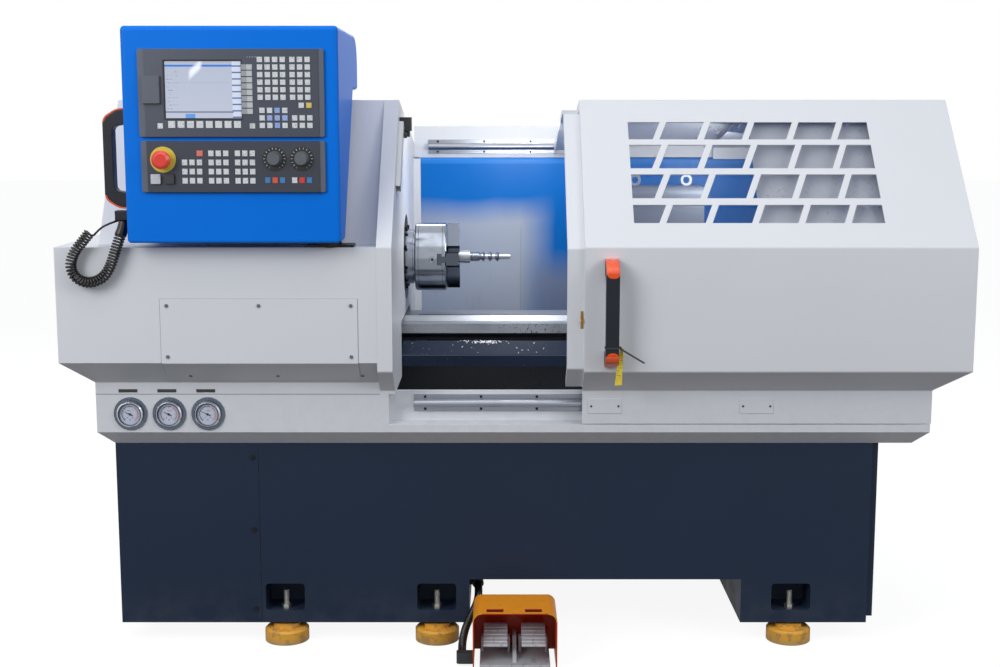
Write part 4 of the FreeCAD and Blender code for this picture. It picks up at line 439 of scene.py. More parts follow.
grey = f.mix(f.noise(60, 3), tint(0.38, 0.42, 0.48), tint(0.48, 0.52, 0.58))
steel = f.mix(flange, f.mix(lip, tint(0.20, 0.24, 0.32), tint(0.80, 0.82, 0.86)), grey)
shade = f.mix(face, steel, f.mix(f.noise(30, 2), tint(0.76, 0.78, 0.86), tint(0.82, 0.84, 0.90)))
shade = f.mix(lipShade * 0.85, shade, tint(0.22, 0.29, 0.42))
shade = f.mix(ink * 0.9, shade, tint(0.06, 0.08, 0.14))
shade = f.mix((marks + row).maths("MINIMUM", 1.0) * face * 0.75, shade, tint(0.20, 0.24, 0.34))
shade = f.mix(warm * 0.9, shade, tint(0.86, 0.42, 0.24))
shade = f.mix(needle, shade, tint(0.03, 0.035, 0.05))
metal = (1 - (face + needle).maths("MINIMUM", 1.0)) * 0.9
rough = 0.14 + 0.3 * face
finishes["gauge"] = f.done(shade, rough, metal=metal, height=f.noise(260, 2), depth=0.00003, rounding=0.0008)
print("metals ready")


# finishes of the console, the plastics and the glass

def plastic(name, low, high, gloss, **fixed):
    f = Finish(name, **fixed)
    shade = f.mix(f.ramp(f.noise(24, 4), 0.3, 0.7), low, high)
    # lighter edges: painted highlight
    shade = f.mix(f.edges(0.0015) * 0.25, shade, shaded(high, 1.8, 0.02))
    return f, shade, gloss + 0.12 * f.noise(60, 3), f.noise(420, 3)


blacks = (tint(0.050, 0.070, 0.115), tint(0.075, 0.095, 0.145))
f, shade, rough, grain = plastic("gripBlack", *blacks, 0.32, Specular_IOR_Level=0.35)
joint = 0
for side, (foot, head) in ((1, (862, 1002)), (-1, (1233, 1375))):  # where grips and caps meet, on door and console
    joint = joint + f.ramp(f.x, 0, side) * (f.between(f.z, foot, foot + 1.6) + f.between(f.z, head, head + 1.6))
shade = f.mix(joint * 0.8, shade, tint(0.03, 0.03, 0.04))
tongues = {"x": 287, "zs": (1029.0, 820.5), "squash": 1.7}  # the rounded ends of the door handle's caps
for z in tongues["zs"]:
    radius = f.polar(f.x, f.z * tongues["squash"], tongues["x"], z * tongues["squash"])[0]
    shade = f.mix(f.ramp(radius, 15.5, 15.1) * f.ramp(f.y, -44, -46), shade, tint(0.96, 0.33, 0.08))
finishes["grip"] = f.done(shade, rough, height=grain - joint * 3, depth=0.00015, rounding=0.005)
f, shade, rough, grain = plastic("capOrange", tint(0.95, 0.29, 0.06), tint(0.98, 0.37, 0.10), 0.22)
finishes["cap"] = f.done(shade, rough, height=grain, depth=0.00006, rounding=0.006, coat=0.4)

panels = {
    "left": -895.0, "top": 1590.0, "lowTop": 1365.0,
    "body": tint(0.285, 0.310, 0.365), "deep": tint(0.235, 0.260, 0.315), "lower": tint(0.185, 0.205, 0.255),
}
bezel = {  # across and down from the display panel's corner
    "field": (16.5, 446), "lights": ((272, 294), (19, 21)), "well": ((62.5, 259), (26, 174)),
    "flap": ((10.5, 55.5), (65.5, 133.5)), "split": (1369, 1371),
}
f = Finish("bezelGrey")
px, pz = f.x - panels["left"], panels["top"] - f.z
upper = f.ramp(f.z, *bezel["split"])
field = f.between(px, *bezel["field"], 0.8)
# the bezel's body is darker towards the lower right: painted shade
body = f.mix(f.ramp(px + pz + 80 * f.noise(3, 2), 60, 420), panels["body"], panels["deep"])
shade = f.mix(field, tint(0.34, 0.365, 0.415), f.mix(upper, panels["lower"], body))
lights = upper * f.area(px, pz, *bezel["lights"]) * f.ramp(px.wave(6.6), 0.2, 0.5)
shade = f.mix(lights * 0.8, shade, tint(0.72, 0.75, 0.80))
well = upper * f.area(px, pz, *bezel["well"], 1)
shade = f.mix(well, shade, tint(0.055, 0.06, 0.075))
under = (1 - upper) * f.ramp(f.y, -68.9, -69.1)
overrides = {"across": (334, 402), "down": 44}  # the dials of the two knobs
for across in overrides["across"]:
    radius, angle = f.polar(f.x, f.z, panels["left"] + across, panels["lowTop"] - overrides["down"])
    dial = under * f.ramp(radius, 30.6, 30.2)
    ring = f.between(radius, 23.0, 27.5) * f.ramp((angle + math.pi / 2).maths("ABSOLUTE"), 0.5, 0.55)
    mark = f.ramp((angle * 18).maths("COSINE"), 0.90, 0.96) * ring
    shade = f.mix(dial, shade, f.mix(mark, tint(0.045, 0.05, 0.06), tint(0.86, 0.87, 0.88)))
flap = f.area(px, pz, *bezel["flap"]) * f.ramp(f.y, -69.1, -69.3)
shade = f.mix(flap, shade, tint(0.33, 0.355, 0.40))
finishes["bezel"] = f.done(shade, 0.34 + 0.12 * f.noise(50, 3), height=f.noise(400, 3), depth=0.00008)

f = Finish("keyCaps")
px, pz, lz = f.x - panels["left"], panels["top"] - f.z, panels["lowTop"] - f.z
low = f.ramp(f.z, *reversed(bezel["split"]))
ink = f.ramp(f.noise(430, 1), 0.655, 0.69)
shade = f.mix(f.noise(9, 2), tint(0.80, 0.815, 0.825), tint(0.88, 0.89, 0.90))
side = (1 - low) * f.between(px, 256, 284)
shade = f.mix(side, shade, f.mix(f.ramp(px, 269.5, 270.5), tint(0.60, 0.62, 0.63), tint(0.74, 0.76, 0.77)))
shade = f.mix(ink * (1 - side) * 0.75, shade, tint(0.22, 0.24, 0.28))
coloured = (
    (415.5, 429.5, 130, 145, tint(0.87, 0.75, 0.38), False), (337, 351, 143, 157.5, tint(0.55, 0.66, 0.88), False),
    (318, 370, 161, 176, tint(0.60, 0.69, 0.88), False), (337, 351, 179, 194.5, tint(0.55, 0.66, 0.88), False),
    (140.5, 156.5, 23, 38, tint(0.86, 0.45, 0.40), True), (309.5, 323.5, 89, 105, tint(0.24, 0.48, 0.72), True),
    (328, 342, 89, 105, tint(0.85, 0.33, 0.22), True), (346.4, 361, 89, 105, tint(0.24, 0.48, 0.72), True),
    (395, 409, 89, 105, tint(0.85, 0.22, 0.18), True), (413.4, 428, 89, 105, tint(0.24, 0.48, 0.72), True),
)
for x0, x1, z0, z1, colour, lower in coloured:
    area = f.area(px, lz if lower else pz, (x0, x1), (z0, z1)) * (low if lower else 1 - low)
    shade = f.mix(area * (1 - ink * 0.5), shade, colour)
finishes["keys"] = f.done(shade, 0.42 + 0.1 * f.noise(30, 2), height=ink, depth=0.00002, rounding=0.0006)

display = {
    "bar": (38.5, 43.5), "text": (48, 150), "textX": (70, 98), "line": (81.4, 82.6), "lineX": (72, 226),
    "column": (233, 255), "row": 15.6, "foot": (152, 156), "button": ((116, 140), (158.5, 169)), "glare": (128, 158),
}
f = Finish("displayGlass", Emission_Strength=0.22, Coat_Roughness=0.04)
px, pz = f.x - panels["left"], panels["top"] - f.z
ground = f.mix(f.ramp(pz, 30, 170), tint(0.680, 0.710, 0.785), tint(0.720, 0.745, 0.815))
glare = f.ramp((px * 0.9 + pz - 178).maths("ABSOLUTE"), 16, 4) * f.between(px, *display["glare"], 8)
shade = f.mix(f.between(pz, *display["bar"]), ground, tint(0.12, 0.45, 0.80))
text = f.ramp(f.noise(420, 1, (0.5, 1.0, 1.0)), 0.56, 0.60) * f.ramp((pz * 0.7).maths("SINE"), 0.55, 0.75)
text = text * f.between(px, *display["textX"], 6) * f.between(pz, *display["text"])
shade = f.mix(text * 0.55, shade, tint(0.30, 0.34, 0.45))
line = f.between(pz, *display["line"], 0.6) * f.ramp((px * 1.9).maths("SINE"), 0.1, 0.6)
line = line * f.between(px, *display["lineX"], 3)
shade = f.mix(line * 0.6, shade, tint(0.36, 0.39, 0.48))
column = f.between(px, *display["column"])
rows = f.ramp((pz - 38).wave(display["row"]), 0.72, 0.80)
shade = f.mix(column, shade, f.mix(rows, tint(0.80, 0.83, 0.90), tint(0.27, 0.40, 0.62)))
foot = f.between(pz, *display["foot"])
shade = f.mix(foot * f.ramp(px, 236, 235), shade, tint(0.45, 0.48, 0.57))
shade = f.mix(f.area(px, pz, *display["button"]), shade, tint(0.30, 0.58, 0.86))
shade = f.mix(glare * 0.85, shade, tint(0.97, 0.98, 1.0))
rough = 0.10 + 0.06 * f.noise(20, 3)
finishes["screen"] = f.done(shade, rough, height=f.noise(200, 2), depth=0.00001, rounding=0, coat=0.6, glow=shade)

f, shade, rough, grain = plastic("stopRed", tint(0.86, 0.16, 0.11), tint(0.93, 0.25, 0.18), 0.26)
stopAt = (-838, 1319)
radius = f.polar(f.x, f.z, *stopAt)[0]
# a lighter ring on the button's dome: painted highlight
shade = f.mix(f.between(radius, 15.5, 17) * 0.35, shade, tint(0.97, 0.55, 0.48))
finishes["stop"] = f.done(shade, rough, height=grain, depth=0.00008, rounding=0.002, coat=0.25)
f, shade, rough, grain = plastic("buttonCap", tint(0.70, 0.72, 0.74), tint(0.80, 0.82, 0.84), 0.30)
shade = f.mix(f.ramp(f.x, -841, -839), shade, tint(0.17, 0.18, 0.20))
finishes["button"] = f.done(shade, rough, height=grain, depth=0.00006, rounding=0.0015)
f, shade, rough, grain = plastic("tagYellow", tint(0.86, 0.74, 0.12), tint(0.93, 0.83, 0.22), 0.45)
dash = f.ramp(f.noise(260, 2), 0.53, 0.58) * f.ramp(f.z.wave(6.5), 0.1, 0.4) * f.between(f.z, 752, 822)
shade = f.mix(dash * 0.8, shade, tint(0.22, 0.20, 0.14))
finishes["tag"] = f.done(shade, rough, height=grain, depth=0.0001, rounding=0)
plastics = {
    "collar": ("collarYellow", tint(0.82, 0.74, 0.24), tint(0.90, 0.82, 0.34), 0.38, 0.00008, 0.0012),
    "knob": ("knobGrey", tint(0.30, 0.32, 0.35), tint(0.36, 0.38, 0.41), 0.42, 0.0001, 0.0015),
    "cord": ("cordBlack", tint(0.012, 0.014, 0.022), tint(0.030, 0.033, 0.045), 0.20, 0.00004, 0),
    "fitting": ("fittingGrey", tint(0.13, 0.14, 0.15), tint(0.20, 0.21, 0.22), 0.45, 0.0001, 0.0015),
}
for key, (name, low, high, gloss, depth, rounding) in plastics.items():
    f, shade, rough, grain = plastic(name, low, high, gloss)
    finishes[key] = f.done(shade, rough, height=grain, depth=depth, rounding=rounding)

f = Finish("clearPane", IOR=1.45)
smear = f.noise(5, 6, (1, 1, 2.2))
spray = f.ramp(f.noise(70, 6), 0.60, 0.70) * f.ramp(smear, 0.50, 0.66)  # dried drops of coolant
shade = f.mix(spray, f.mix(smear, tint(0.10, 0.21, 0.42), tint(0.16, 0.27, 0.46)), tint(0.72, 0.77, 0.84))
finishes["pane"] = f.done(shade, 0.04 + 0.12 * f.ramp(smear, 0.45, 0.8), rounding=0, alpha=0.18 + 0.45 * spray)
f = Finish("gaugeLens", Alpha=0.05, IOR=1.5)
shade = f.mix(f.noise(9, 2), tint(0.80, 0.85, 0.88), tint(0.92, 0.95, 0.97))
finishes["lens"] = f.done(shade, 0.03 + 0.04 * f.noise(30, 3), rounding=0)
print("plastics ready")

wears = {
    "white": "chip_tray headstock_wall headstock_covers access_panel right_guard rear_frame door_hood tailstock",
    "post": "door_frame", "navy": "pedestal pedestal_panels", "wall": "back_wall", "guard": "screw_guard",
    "black": "rail_bolts bearing_cap console_pivot", "heads": "case_screws", "turret": "turret_housing",
    "pad": "foot_pads", "zinc": "foot_studs", "gauge": "gauges", "ground": "guide_rails door_blocks quill",
    "bed": "bed", "iron": "saddle cross_slide headstock turret_disc", "thread": "ball_screw",
    "fitting": "cable_fittings", "cast": "switch_base switch_pedal_1 switch_pedal_2", "shroud": "switch_hood",
    "pane": "door_window", "grip": "door_handle_grip console_handle_grip",
    "cap": "door_handle_caps console_handle_caps", "chuck": "spindle chuck_body", "work": "workpiece",
    "jaw": "chuck_jaw_1 chuck_jaw_2 chuck_jaw_3", "chrome": "tail_wheel", "blue": "console_housing",
    "bezel": "console_panels", "screen": "screen", "keys": "console_keys", "collar": "stop_plate",
    "stop": "stop_button", "knob": "override_knob_1 override_knob_2", "button": "lamp_button_1 lamp_button_2",
    "cord": "curly_cord_coil curly_cord_lead pedal_hose",
}
for finish, names in wears.items():
    for name in names.split():
        mesh = nodes[name].data
        mesh.materials.clear()
        mesh.materials.append(finishes[finish])
print("frame dressed")


def newObject(name, data):
    item = bpy.data.objects.new(name, data)
    bpy.context.scene.collection.objects.link(item)
    return item


def piece(name, bm, finish, body, smooth=False):
    mesh = bpy.data.meshes.new(name)
    bmesh.ops.recalc_face_normals(bm, faces=bm.faces)
    bm.to_mesh(mesh)
    bm.free()
    for polygon in mesh.polygons:
        polygon.use_smooth = smooth
    mesh.materials.append(finishes[finish])
    item = newObject(name, mesh)
    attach(item, body)
    return item


def block(bm, size, middle=(0, 0, 0)):
    verts = bmesh.ops.create_cube(bm, size=1.0)["verts"]
    bmesh.ops.scale(bm, vec=size, verts=verts)
    bmesh.ops.translate(bm, vec=middle, verts=verts)
    return verts


def bevel(bm, edges, offset, segments=2):
    bmesh.ops.bevel(bm, geom=edges, offset=offset, segments=segments, affect="EDGES", profile=0.5, material=-1)


def edgesAt(verts):  # each edge once, in a fixed order
    return list(dict.fromkeys(e for v in verts for e in v.link_edges))


def standing(side, up, ahead, place):
    stand = Matrix((side, up, ahead)).transposed().to_4x4()
    stand.translation = place
    return stand


def tube(sections, segments, across):  # a skin over round sections, each with its place, direction and radius
    bm = bmesh.new()
    loops = []
    for place, ahead, radius in sections:
        side = across.cross(ahead).normalized()
        stand = standing(side, ahead.cross(side), ahead, place)
        ring = bmesh.ops.create_circle(bm, segments=segments, radius=radius, matrix=stand)["verts"]
        loops.append([e for e in edgesAt(ring) if all(v in ring for v in e.verts)])
    for first, second in zip(loops, loops[1:]):
        bmesh.ops.bridge_loops(bm, edges=first + second)
    for loop in (loops[0], loops[-1]):
        bmesh.ops.contextual_create(bm, geom=loop)
    return bm


def smoothCurve(name, points, steps):
    curve = bpy.data.curves.new(name, "CURVE")
    curve.dimensions = "3D"
    spline = curve.splines.new("NURBS")
    spline.points.add(len(points) - 1)
    for point, place in zip(spline.points, points):
        point.co = (*place, 1.0)
    spline.order_u = 3
    spline.use_endpoint_u = True
    spline.resolution_u = steps
    return curve


def routeLine(name, points):  # points along the smooth line of a route
    curve = smoothCurve(name, points, 24)
    item = bpy.data.objects.new(name, curve)
    mesh = bpy.data.meshes.new_from_object(item)
    line = [v.co.copy() for v in mesh.vertices]
    bpy.data.objects.remove(item)
    bpy.data.curves.remove(curve)
    bpy.data.meshes.remove(mesh)
    return line


def evenly(line, step):  # places and directions at an even step along a line
    lengths = [0.0]
    for a, b in zip(line, line[1:]):
        lengths.append(lengths[-1] + (b - a).length)
    count = max(2, round(lengths[-1] / step))
    places = []
    k = 0
    for i in range(count + 1):
        s = lengths[-1] * i / count
        while k < len(line) - 2 and lengths[k + 1] < s:
            k += 1
        share = (s - lengths[k]) / max(lengths[k + 1] - lengths[k], 1e-9)
        places.append((line[k].lerp(line[k + 1], share), (line[k + 1] - line[k]).normalized(), s))
    return places, lengths[-1]


# the curly cord under the console's side handle
curlyCord = {
    "coil": [
        (-954, -24, 1166), (-955, -24, 1148), (-966, -24, 1120), (-979, -24, 1084), (-992, -24, 1046),
        (-1014, -24, 1015), (-1052, -24, 1004), (-1084, -24, 1019), (-1095, -24, 1050), (-1083, -24, 1084),
        (-1063, -24, 1108), (-1041, -24, 1134),
    ],
    "lead": [
        (-1030.5, -14, 1129), (-1024, -7, 1138), (-1009, -4, 1150),
        (-984, 10, 1160), (-958, 23, 1167.5), (-938, 24, 1170),
    ],
    "wire": 5.6, "outer": 29.8, "pitch": 7.7, "perTurn": 16, "ramp": 42.0, "bend": 12.0, "boot": (11.4, 15.3, 40.0),
}
axisLine = routeLine("coilRoute", [spot(*p) for p in curlyCord["coil"]])
turnRadius = (curlyCord["outer"] - curlyCord["wire"]) / 2
helix = []
turn = 0.0
last = 0.0
for place, ahead, s in evenly(axisLine, 0.0002)[0]:
    share = min(1, s * 1000 / curlyCord["ramp"])
    reach = turnRadius * share * share * (3 - 2 * share)  # the turns open inside the boot
    pitch = max(curlyCord["pitch"], 2 * math.pi * math.sqrt(max(0, reach * (curlyCord["bend"] - reach))))
    turn += 2 * math.pi * (s - last) * 1000 / pitch
    last = s
    helix.append((place, ahead, reach / 1000, turn))
turnPoints = []
due = -1.0
for place, ahead, reach, at in helix:
    if at < due:
        continue
    side = Vector((0, 1, 0)).cross(ahead).normalized()
    lift = ahead.cross(side).normalized()
    around = at - turn  # the last turn ends at its lower right
    turnPoints.append(place + side * (reach * math.cos(around)) + lift * (reach * math.sin(around)))
    due = at + 2 * math.pi / curlyCord["perTurn"]
turnPoints += [spot(*p) for p in curlyCord["lead"]]
curve = smoothCurve("curlyCord", turnPoints, 2)
curve.bevel_depth = curlyCord["wire"] / 2000
curve.bevel_resolution = 3
curve.use_fill_caps = True
curve.materials.append(finishes["cord"])
cordObject = newObject("curlyCord", curve)
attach(cordObject, "console")
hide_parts("curly_cord_coil", "curly_cord_lead")
curlyLine = routeLine("turns", turnPoints)
curlyLength = sum((b - a).length for a, b in zip(curlyLine, curlyLine[1:]))
narrow, wide, long = (size / 1000 for size in curlyCord["boot"])
sections = [
    (place, ahead, narrow + (wide - narrow) * (s / long) ** 0.8)
    for place, ahead, s in evenly(axisLine, 0.004)[0] if s <= long
]
boot = piece("cordBoot", tube(sections, 28, Vector((0, 1, 0))), "cord", "console", smooth=True)
spot(*curlyCord["coil"][0])
print("curly cord", round(curlyLength, 2), "m")

# the ribbed hose of the foot switch
pedalHose = {
    "route": [
        (-61, 190, 140), (-58, 158, 128), (-62, 114, 112), (-78, 86, 86), (-94, 60, 57),
        (-100, 28, 37), (-101, 0, 27), (-100, -28, 24), (-100, -50, 24),
    ],
    "outer": 22.0, "root": 19.0, "pitch": 4.4, "sides": 20,
}
hoseLine = routeLine("hoseRoute", [spot(*p) for p in pedalHose["route"]])
stations, hoseLength = evenly(hoseLine, pedalHose["pitch"] / 4 / 1000)
sections = [
    (place, ahead, (pedalHose["outer"] if i % 4 in (1, 2) else pedalHose["root"]) / 2000)
    for i, (place, ahead, s) in enumerate(stations)
]
bm = tube(sections, pedalHose["sides"], Vector((1, 0, 0)))
hose = piece("pedalHose", bm, "cord", "machine", smooth=True)
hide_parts("pedal_hose")
spot(*pedalHose["route"][0])
print("hose", round(hoseLength, 3), "m")

# the gauges' lenses
lenses = {"radius": 29.0, "rise": 3.5, "y": 65.6}
bm = bmesh.new()
for i in range(3):
    made = bmesh.ops.create_uvsphere(bm, u_segments=32, v_segments=16, radius=1.0)
    for v in made["verts"]:
        v.co = Vector((v.co.x, v.co.z, v.co.y))
    gone = [v for v in made["verts"] if v.co.y > 0.02]
    kept = [v for v in made["verts"] if v.co.y <= 0.02]
    bmesh.ops.delete(bm, geom=gone, context="VERTS")
    bmesh.ops.scale(bm, vec=(lenses["radius"] / 1000, lenses["rise"] / 1000, lenses["radius"] / 1000), verts=kept)
    bmesh.ops.translate(bm, vec=spot(dials["first"] + dials["pitch"] * i, lenses["y"], dials["z"]), verts=kept)
piece("gaugeLenses", bm, "lens", "machine", smooth=True)

# blank strips above the gauges
strips = {"xs": (-986, -883, -780), "y": 80.0, "z": 706.5, "wide": 50.0, "tall": 8.6, "thick": 1.2}
bm = bmesh.new()
for x in strips["xs"]:
    size = Vector((strips["wide"], strips["thick"], strips["tall"])) / 1000
    block(bm, size, spot(x, strips["y"] - strips["thick"] / 2, strips["z"]))
bevel(bm, bm.edges[:], 0.0004)
piece("blankStrips", bm, "fitting", "machine")
print("small pieces ready")

# cable tie and tag at the foot of the door's handle
tie = {
    "x": 286.0, "y": -50.0, "z": 842.0, "inner": (36.0, 26.0), "corner": 2.0, "wide": 3.6, "thick": 1.2,
    "head": 6.4, "headOut": 2.4, "tail": ((306.5, 839.5), (369.0, 802.0)), "tailWide": 4.4,
}
bm = bmesh.new()
block(bm, Vector((*tie["inner"], tie["wide"])) / 1000)
bevel(bm, [e for e in bm.edges if abs(e.verts[0].co.z - e.verts[1].co.z) > 0.001], tie["corner"] / 1000, 4)
bmesh.ops.delete(bm, geom=[g for g in bm.faces if abs(g.normal.z) > 0.9], context="FACES")
bmesh.ops.recalc_face_normals(bm, faces=bm.faces)
bmesh.ops.solidify(bm, geom=bm.faces[:], thickness=-tie["thick"] / 1000)
bmesh.ops.translate(bm, vec=spot(tie["x"], tie["y"], tie["z"]), verts=bm.verts)
bevel(bm, edgesAt(block(bm, Vector((1, 1, 1)) * tie["head"] / 1000)), 0.0009)
headVerts = [v for v in bm.verts if v.co.length < 0.01]
headX = tie["x"] + tie["inner"][0] / 2 + tie["headOut"]
bmesh.ops.translate(bm, vec=spot(headX, tie["y"], tie["z"]), verts=headVerts)
start, end = (spot(x, tie["y"], z) for x, z in tie["tail"])
run = end - start
tail = block(bm, (run.length, tie["thick"] / 1000, tie["tailWide"] / 1000))
bmesh.ops.rotate(bm, cent=(0, 0, 0), matrix=Matrix.Rotation(math.atan2(-run.z, run.x), 3, "Y"), verts=tail)
bmesh.ops.translate(bm, vec=(start + end) / 2, verts=tail)
piece("handleTie", bm, "fitting", "door")

tag = {
    "top": (311.5, 841.0), "foot": (303.0, 745.0), "wide": (8.0, 19.0),
    "thick": 0.9, "y": -45.0, "bow": 7.0, "twist": 6.0, "steps": 10,
}
bm = bmesh.new()
bmesh.ops.create_grid(bm, x_segments=1, y_segments=tag["steps"], size=0.5)
for v in bm.verts:
    share = 0.5 - v.co.y
    x, z = (top + (foot - top) * share for top, foot in zip(tag["top"], tag["foot"]))
    wide = tag["wide"][0] + (tag["wide"][1] - tag["wide"][0]) * share
    y = tag["y"] + tag["bow"] * math.sin(math.pi * share) + tag["twist"] * v.co.x * share
    v.co = spot(x + v.co.x * wide, y, z)
bmesh.ops.solidify(bm, geom=bm.faces[:], thickness=tag["thick"] / 1000)
piece("handleTag", bm, "tag", "door")

# seal strip along the slope of the headstock's wall, with its screws
seal = {  # along the slope from the waist's corner
    "from": 232.0, "to": 462.0, "depth": (36.0, 60.0), "flange": 84.0, "stand": 13.0, "sheet": 1.6, "gap": 0.1,
    "wall": -278.0, "waist": 1094.0, "slope": (340.0, 378.0), "screws": 4, "screwEdge": 30.0,
}
lean = Vector((0, *seal["slope"])).normalized()
stand = standing(Vector((1, 0, 0)), lean, Vector((0, lean.z, -lean.y)), spot(seal["wall"], 0, seal["waist"]))
bm = bmesh.new()
near, far = seal["depth"]
blocks = (
    (seal["gap"], seal["stand"], near, near + seal["sheet"]),
    (seal["stand"] - seal["sheet"], seal["stand"], near, far),
    (seal["gap"], seal["stand"], far - seal["sheet"], far),
    (seal["gap"], seal["gap"] + seal["sheet"], far - seal["sheet"], seal["flange"]),
)
for x0, x1, d0, d1 in blocks:
    size = Vector((x1 - x0, seal["to"] - seal["from"], d1 - d0)) / 1000
    block(bm, size, Vector((x0 + x1, seal["from"] + seal["to"], d0 + d1)) / 2000)
bevel(bm, bm.edges[:], 0.0005)
bmesh.ops.transform(bm, matrix=stand, verts=bm.verts)
piece("sealStrip", bm, "white", "machine")
bm = bmesh.new()
first, last = seal["from"] + seal["screwEdge"], seal["to"] - seal["screwEdge"]
for i in range(seal["screws"]):
    along = first + (last - first) * i / (seal["screws"] - 1)
    made = bmesh.ops.create_cone(bm, cap_ends=True, segments=16, radius1=0.0042, radius2=0.0034, depth=0.0024)
    bmesh.ops.rotate(bm, cent=(0, 0, 0), matrix=Matrix.Rotation(math.pi / 2, 3, "Y"), verts=made["verts"])
    bmesh.ops.translate(bm, vec=(0.0029, along / 1000, (far + seal["flange"]) / 2000), verts=made["verts"])
bmesh.ops.transform(bm, matrix=stand, verts=bm.verts)
piece("sealScrews", bm, "black", "machine")

# the foot switch's hood: a rounded box, open below and in front, with two slots in its roof
hood = {
    "x": (-71.0, 149.0), "y": (-94.6, 61.6), "z": (0.3, 153.0), "sheet": 3.0, "corner": 24.0, "back": 34.0,
    "slots": ((-35.0, 9.0), (65.0, 109.0)), "slotY": (-82.0, -58.0),
}
low, high = (spot(*ends) for ends in zip(hood["x"], hood["y"], hood["z"]))
bm = bmesh.new()
block(bm, high - low, (high + low) / 2)
roof = [e for e in bm.edges if all(abs(v.co.z - high.z) < 1e-5 for v in e.verts)]
bevel(bm, [e for e in roof if abs(e.verts[0].co.y - e.verts[1].co.y) > 0.01], hood["corner"] / 1000, 6)
roofBack = [e for e in bm.edges if all(abs(v.co.y - high.y) < 1e-5 and abs(v.co.z - high.z) < 1e-5 for v in e.verts)]
bevel(bm, roofBack, hood["back"] / 1000, 5)
bmesh.ops.delete(bm, geom=[g for g in bm.faces if g.normal.z < -0.9 or g.normal.y < -0.9], context="FACES")
cuts = [(spot(x, 0, 0), (1, 0, 0)) for slot in hood["slots"] for x in slot]
cuts += [(spot(0, y, 0), (0, 1, 0)) for y in hood["slotY"]]
for place, normal in cuts:
    bmesh.ops.bisect_plane(bm, geom=bm.verts[:] + bm.edges[:] + bm.faces[:], plane_co=place, plane_no=normal)
gone = []
for g in bm.faces:
    middle = g.calc_center_median()
    over = any(spot(a, 0, 0).x < middle.x < spot(b, 0, 0).x for a, b in hood["slots"])
    if g.normal.z > 0.9 and over and spot(0, hood["slotY"][0], 0).y < middle.y < spot(0, hood["slotY"][1], 0).y:
        gone.append(g)
bmesh.ops.delete(bm, geom=gone, context="FACES")
bmesh.ops.recalc_face_normals(bm, faces=bm.faces)
outside = set(bm.faces)
bmesh.ops.solidify(bm, geom=bm.faces[:], thickness=hood["sheet"] / 1000)
rimArea = 0.00002
# the inside faces take the darker orange as painted shade
for g in bm.faces:
    g.material_index = 0 if g in outside or g.calc_area() < rimArea else 1
switchHood = piece("switchHood", bm, "shroud", "machine")
switchHood.data.materials.append(finishes["shroudInsideShade"])
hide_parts("switch_hood")

# corner strip between the headstock's wall and the back wall
backX, backY = (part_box("back_wall")[0][i] * 1000 + zero[i] for i in (0, 1))
strip = {"x": (-277.9, backX + 7.0), "y": (backY - 1.7, backY - 0.2), "z": (700.0, 1294.0)}
low, high = (spot(*ends) for ends in zip(strip["x"], strip["y"], strip["z"]))
bm = bmesh.new()
block(bm, high - low, (high + low) / 2)
bevel(bm, bm.edges[:], 0.0005)
piece("cornerStrip", bm, "white", "machine")

# square sockets for the chuck's key, with black blocks in them as painted shade of their holes
sockets = {"x": -197.0, "radius": 7.6, "square": 7.2, "at": 99.2, "depth": 6.0, "proud": 0.15}
bm = bmesh.new()
holeShade = bmesh.new()
for k in range(3):
    turn = Matrix.Translation(spot(sockets["x"], axis["y"], axis["z"])) @ Matrix.Rotation(math.radians(120 * k), 4, "X")
    radius = sockets["radius"] / 1000
    depth = sockets["depth"] / 1000
    made = bmesh.ops.create_cone(bm, cap_ends=True, segments=28, radius1=radius, radius2=radius, depth=depth)
    bevel(bm, [e for e in edgesAt(made["verts"]) if any(len(g.verts) > 4 for g in e.link_faces)], 0.0006)
    placed = [v for v in bm.verts if v.co.length < 0.03]
    out = Matrix.Translation((0, depth / 2 - sockets["at"] / 1000, 0))
    bmesh.ops.transform(bm, matrix=turn @ out @ Matrix.Rotation(math.pi / 2, 4, "X"), verts=placed)
    made = bmesh.ops.create_cube(holeShade, size=sockets["square"] / 1000)
    out = Matrix.Translation((0, (sockets["square"] / 2 - sockets["proud"] - sockets["at"]) / 1000, 0))
    bmesh.ops.transform(holeShade, matrix=turn @ out @ Matrix.Rotation(math.pi / 4, 4, "Y"), verts=made["verts"])
piece("keySockets", bm, "work", "spindle_unit")
piece("socketHoleShade", holeShade, "black", "spindle_unit")

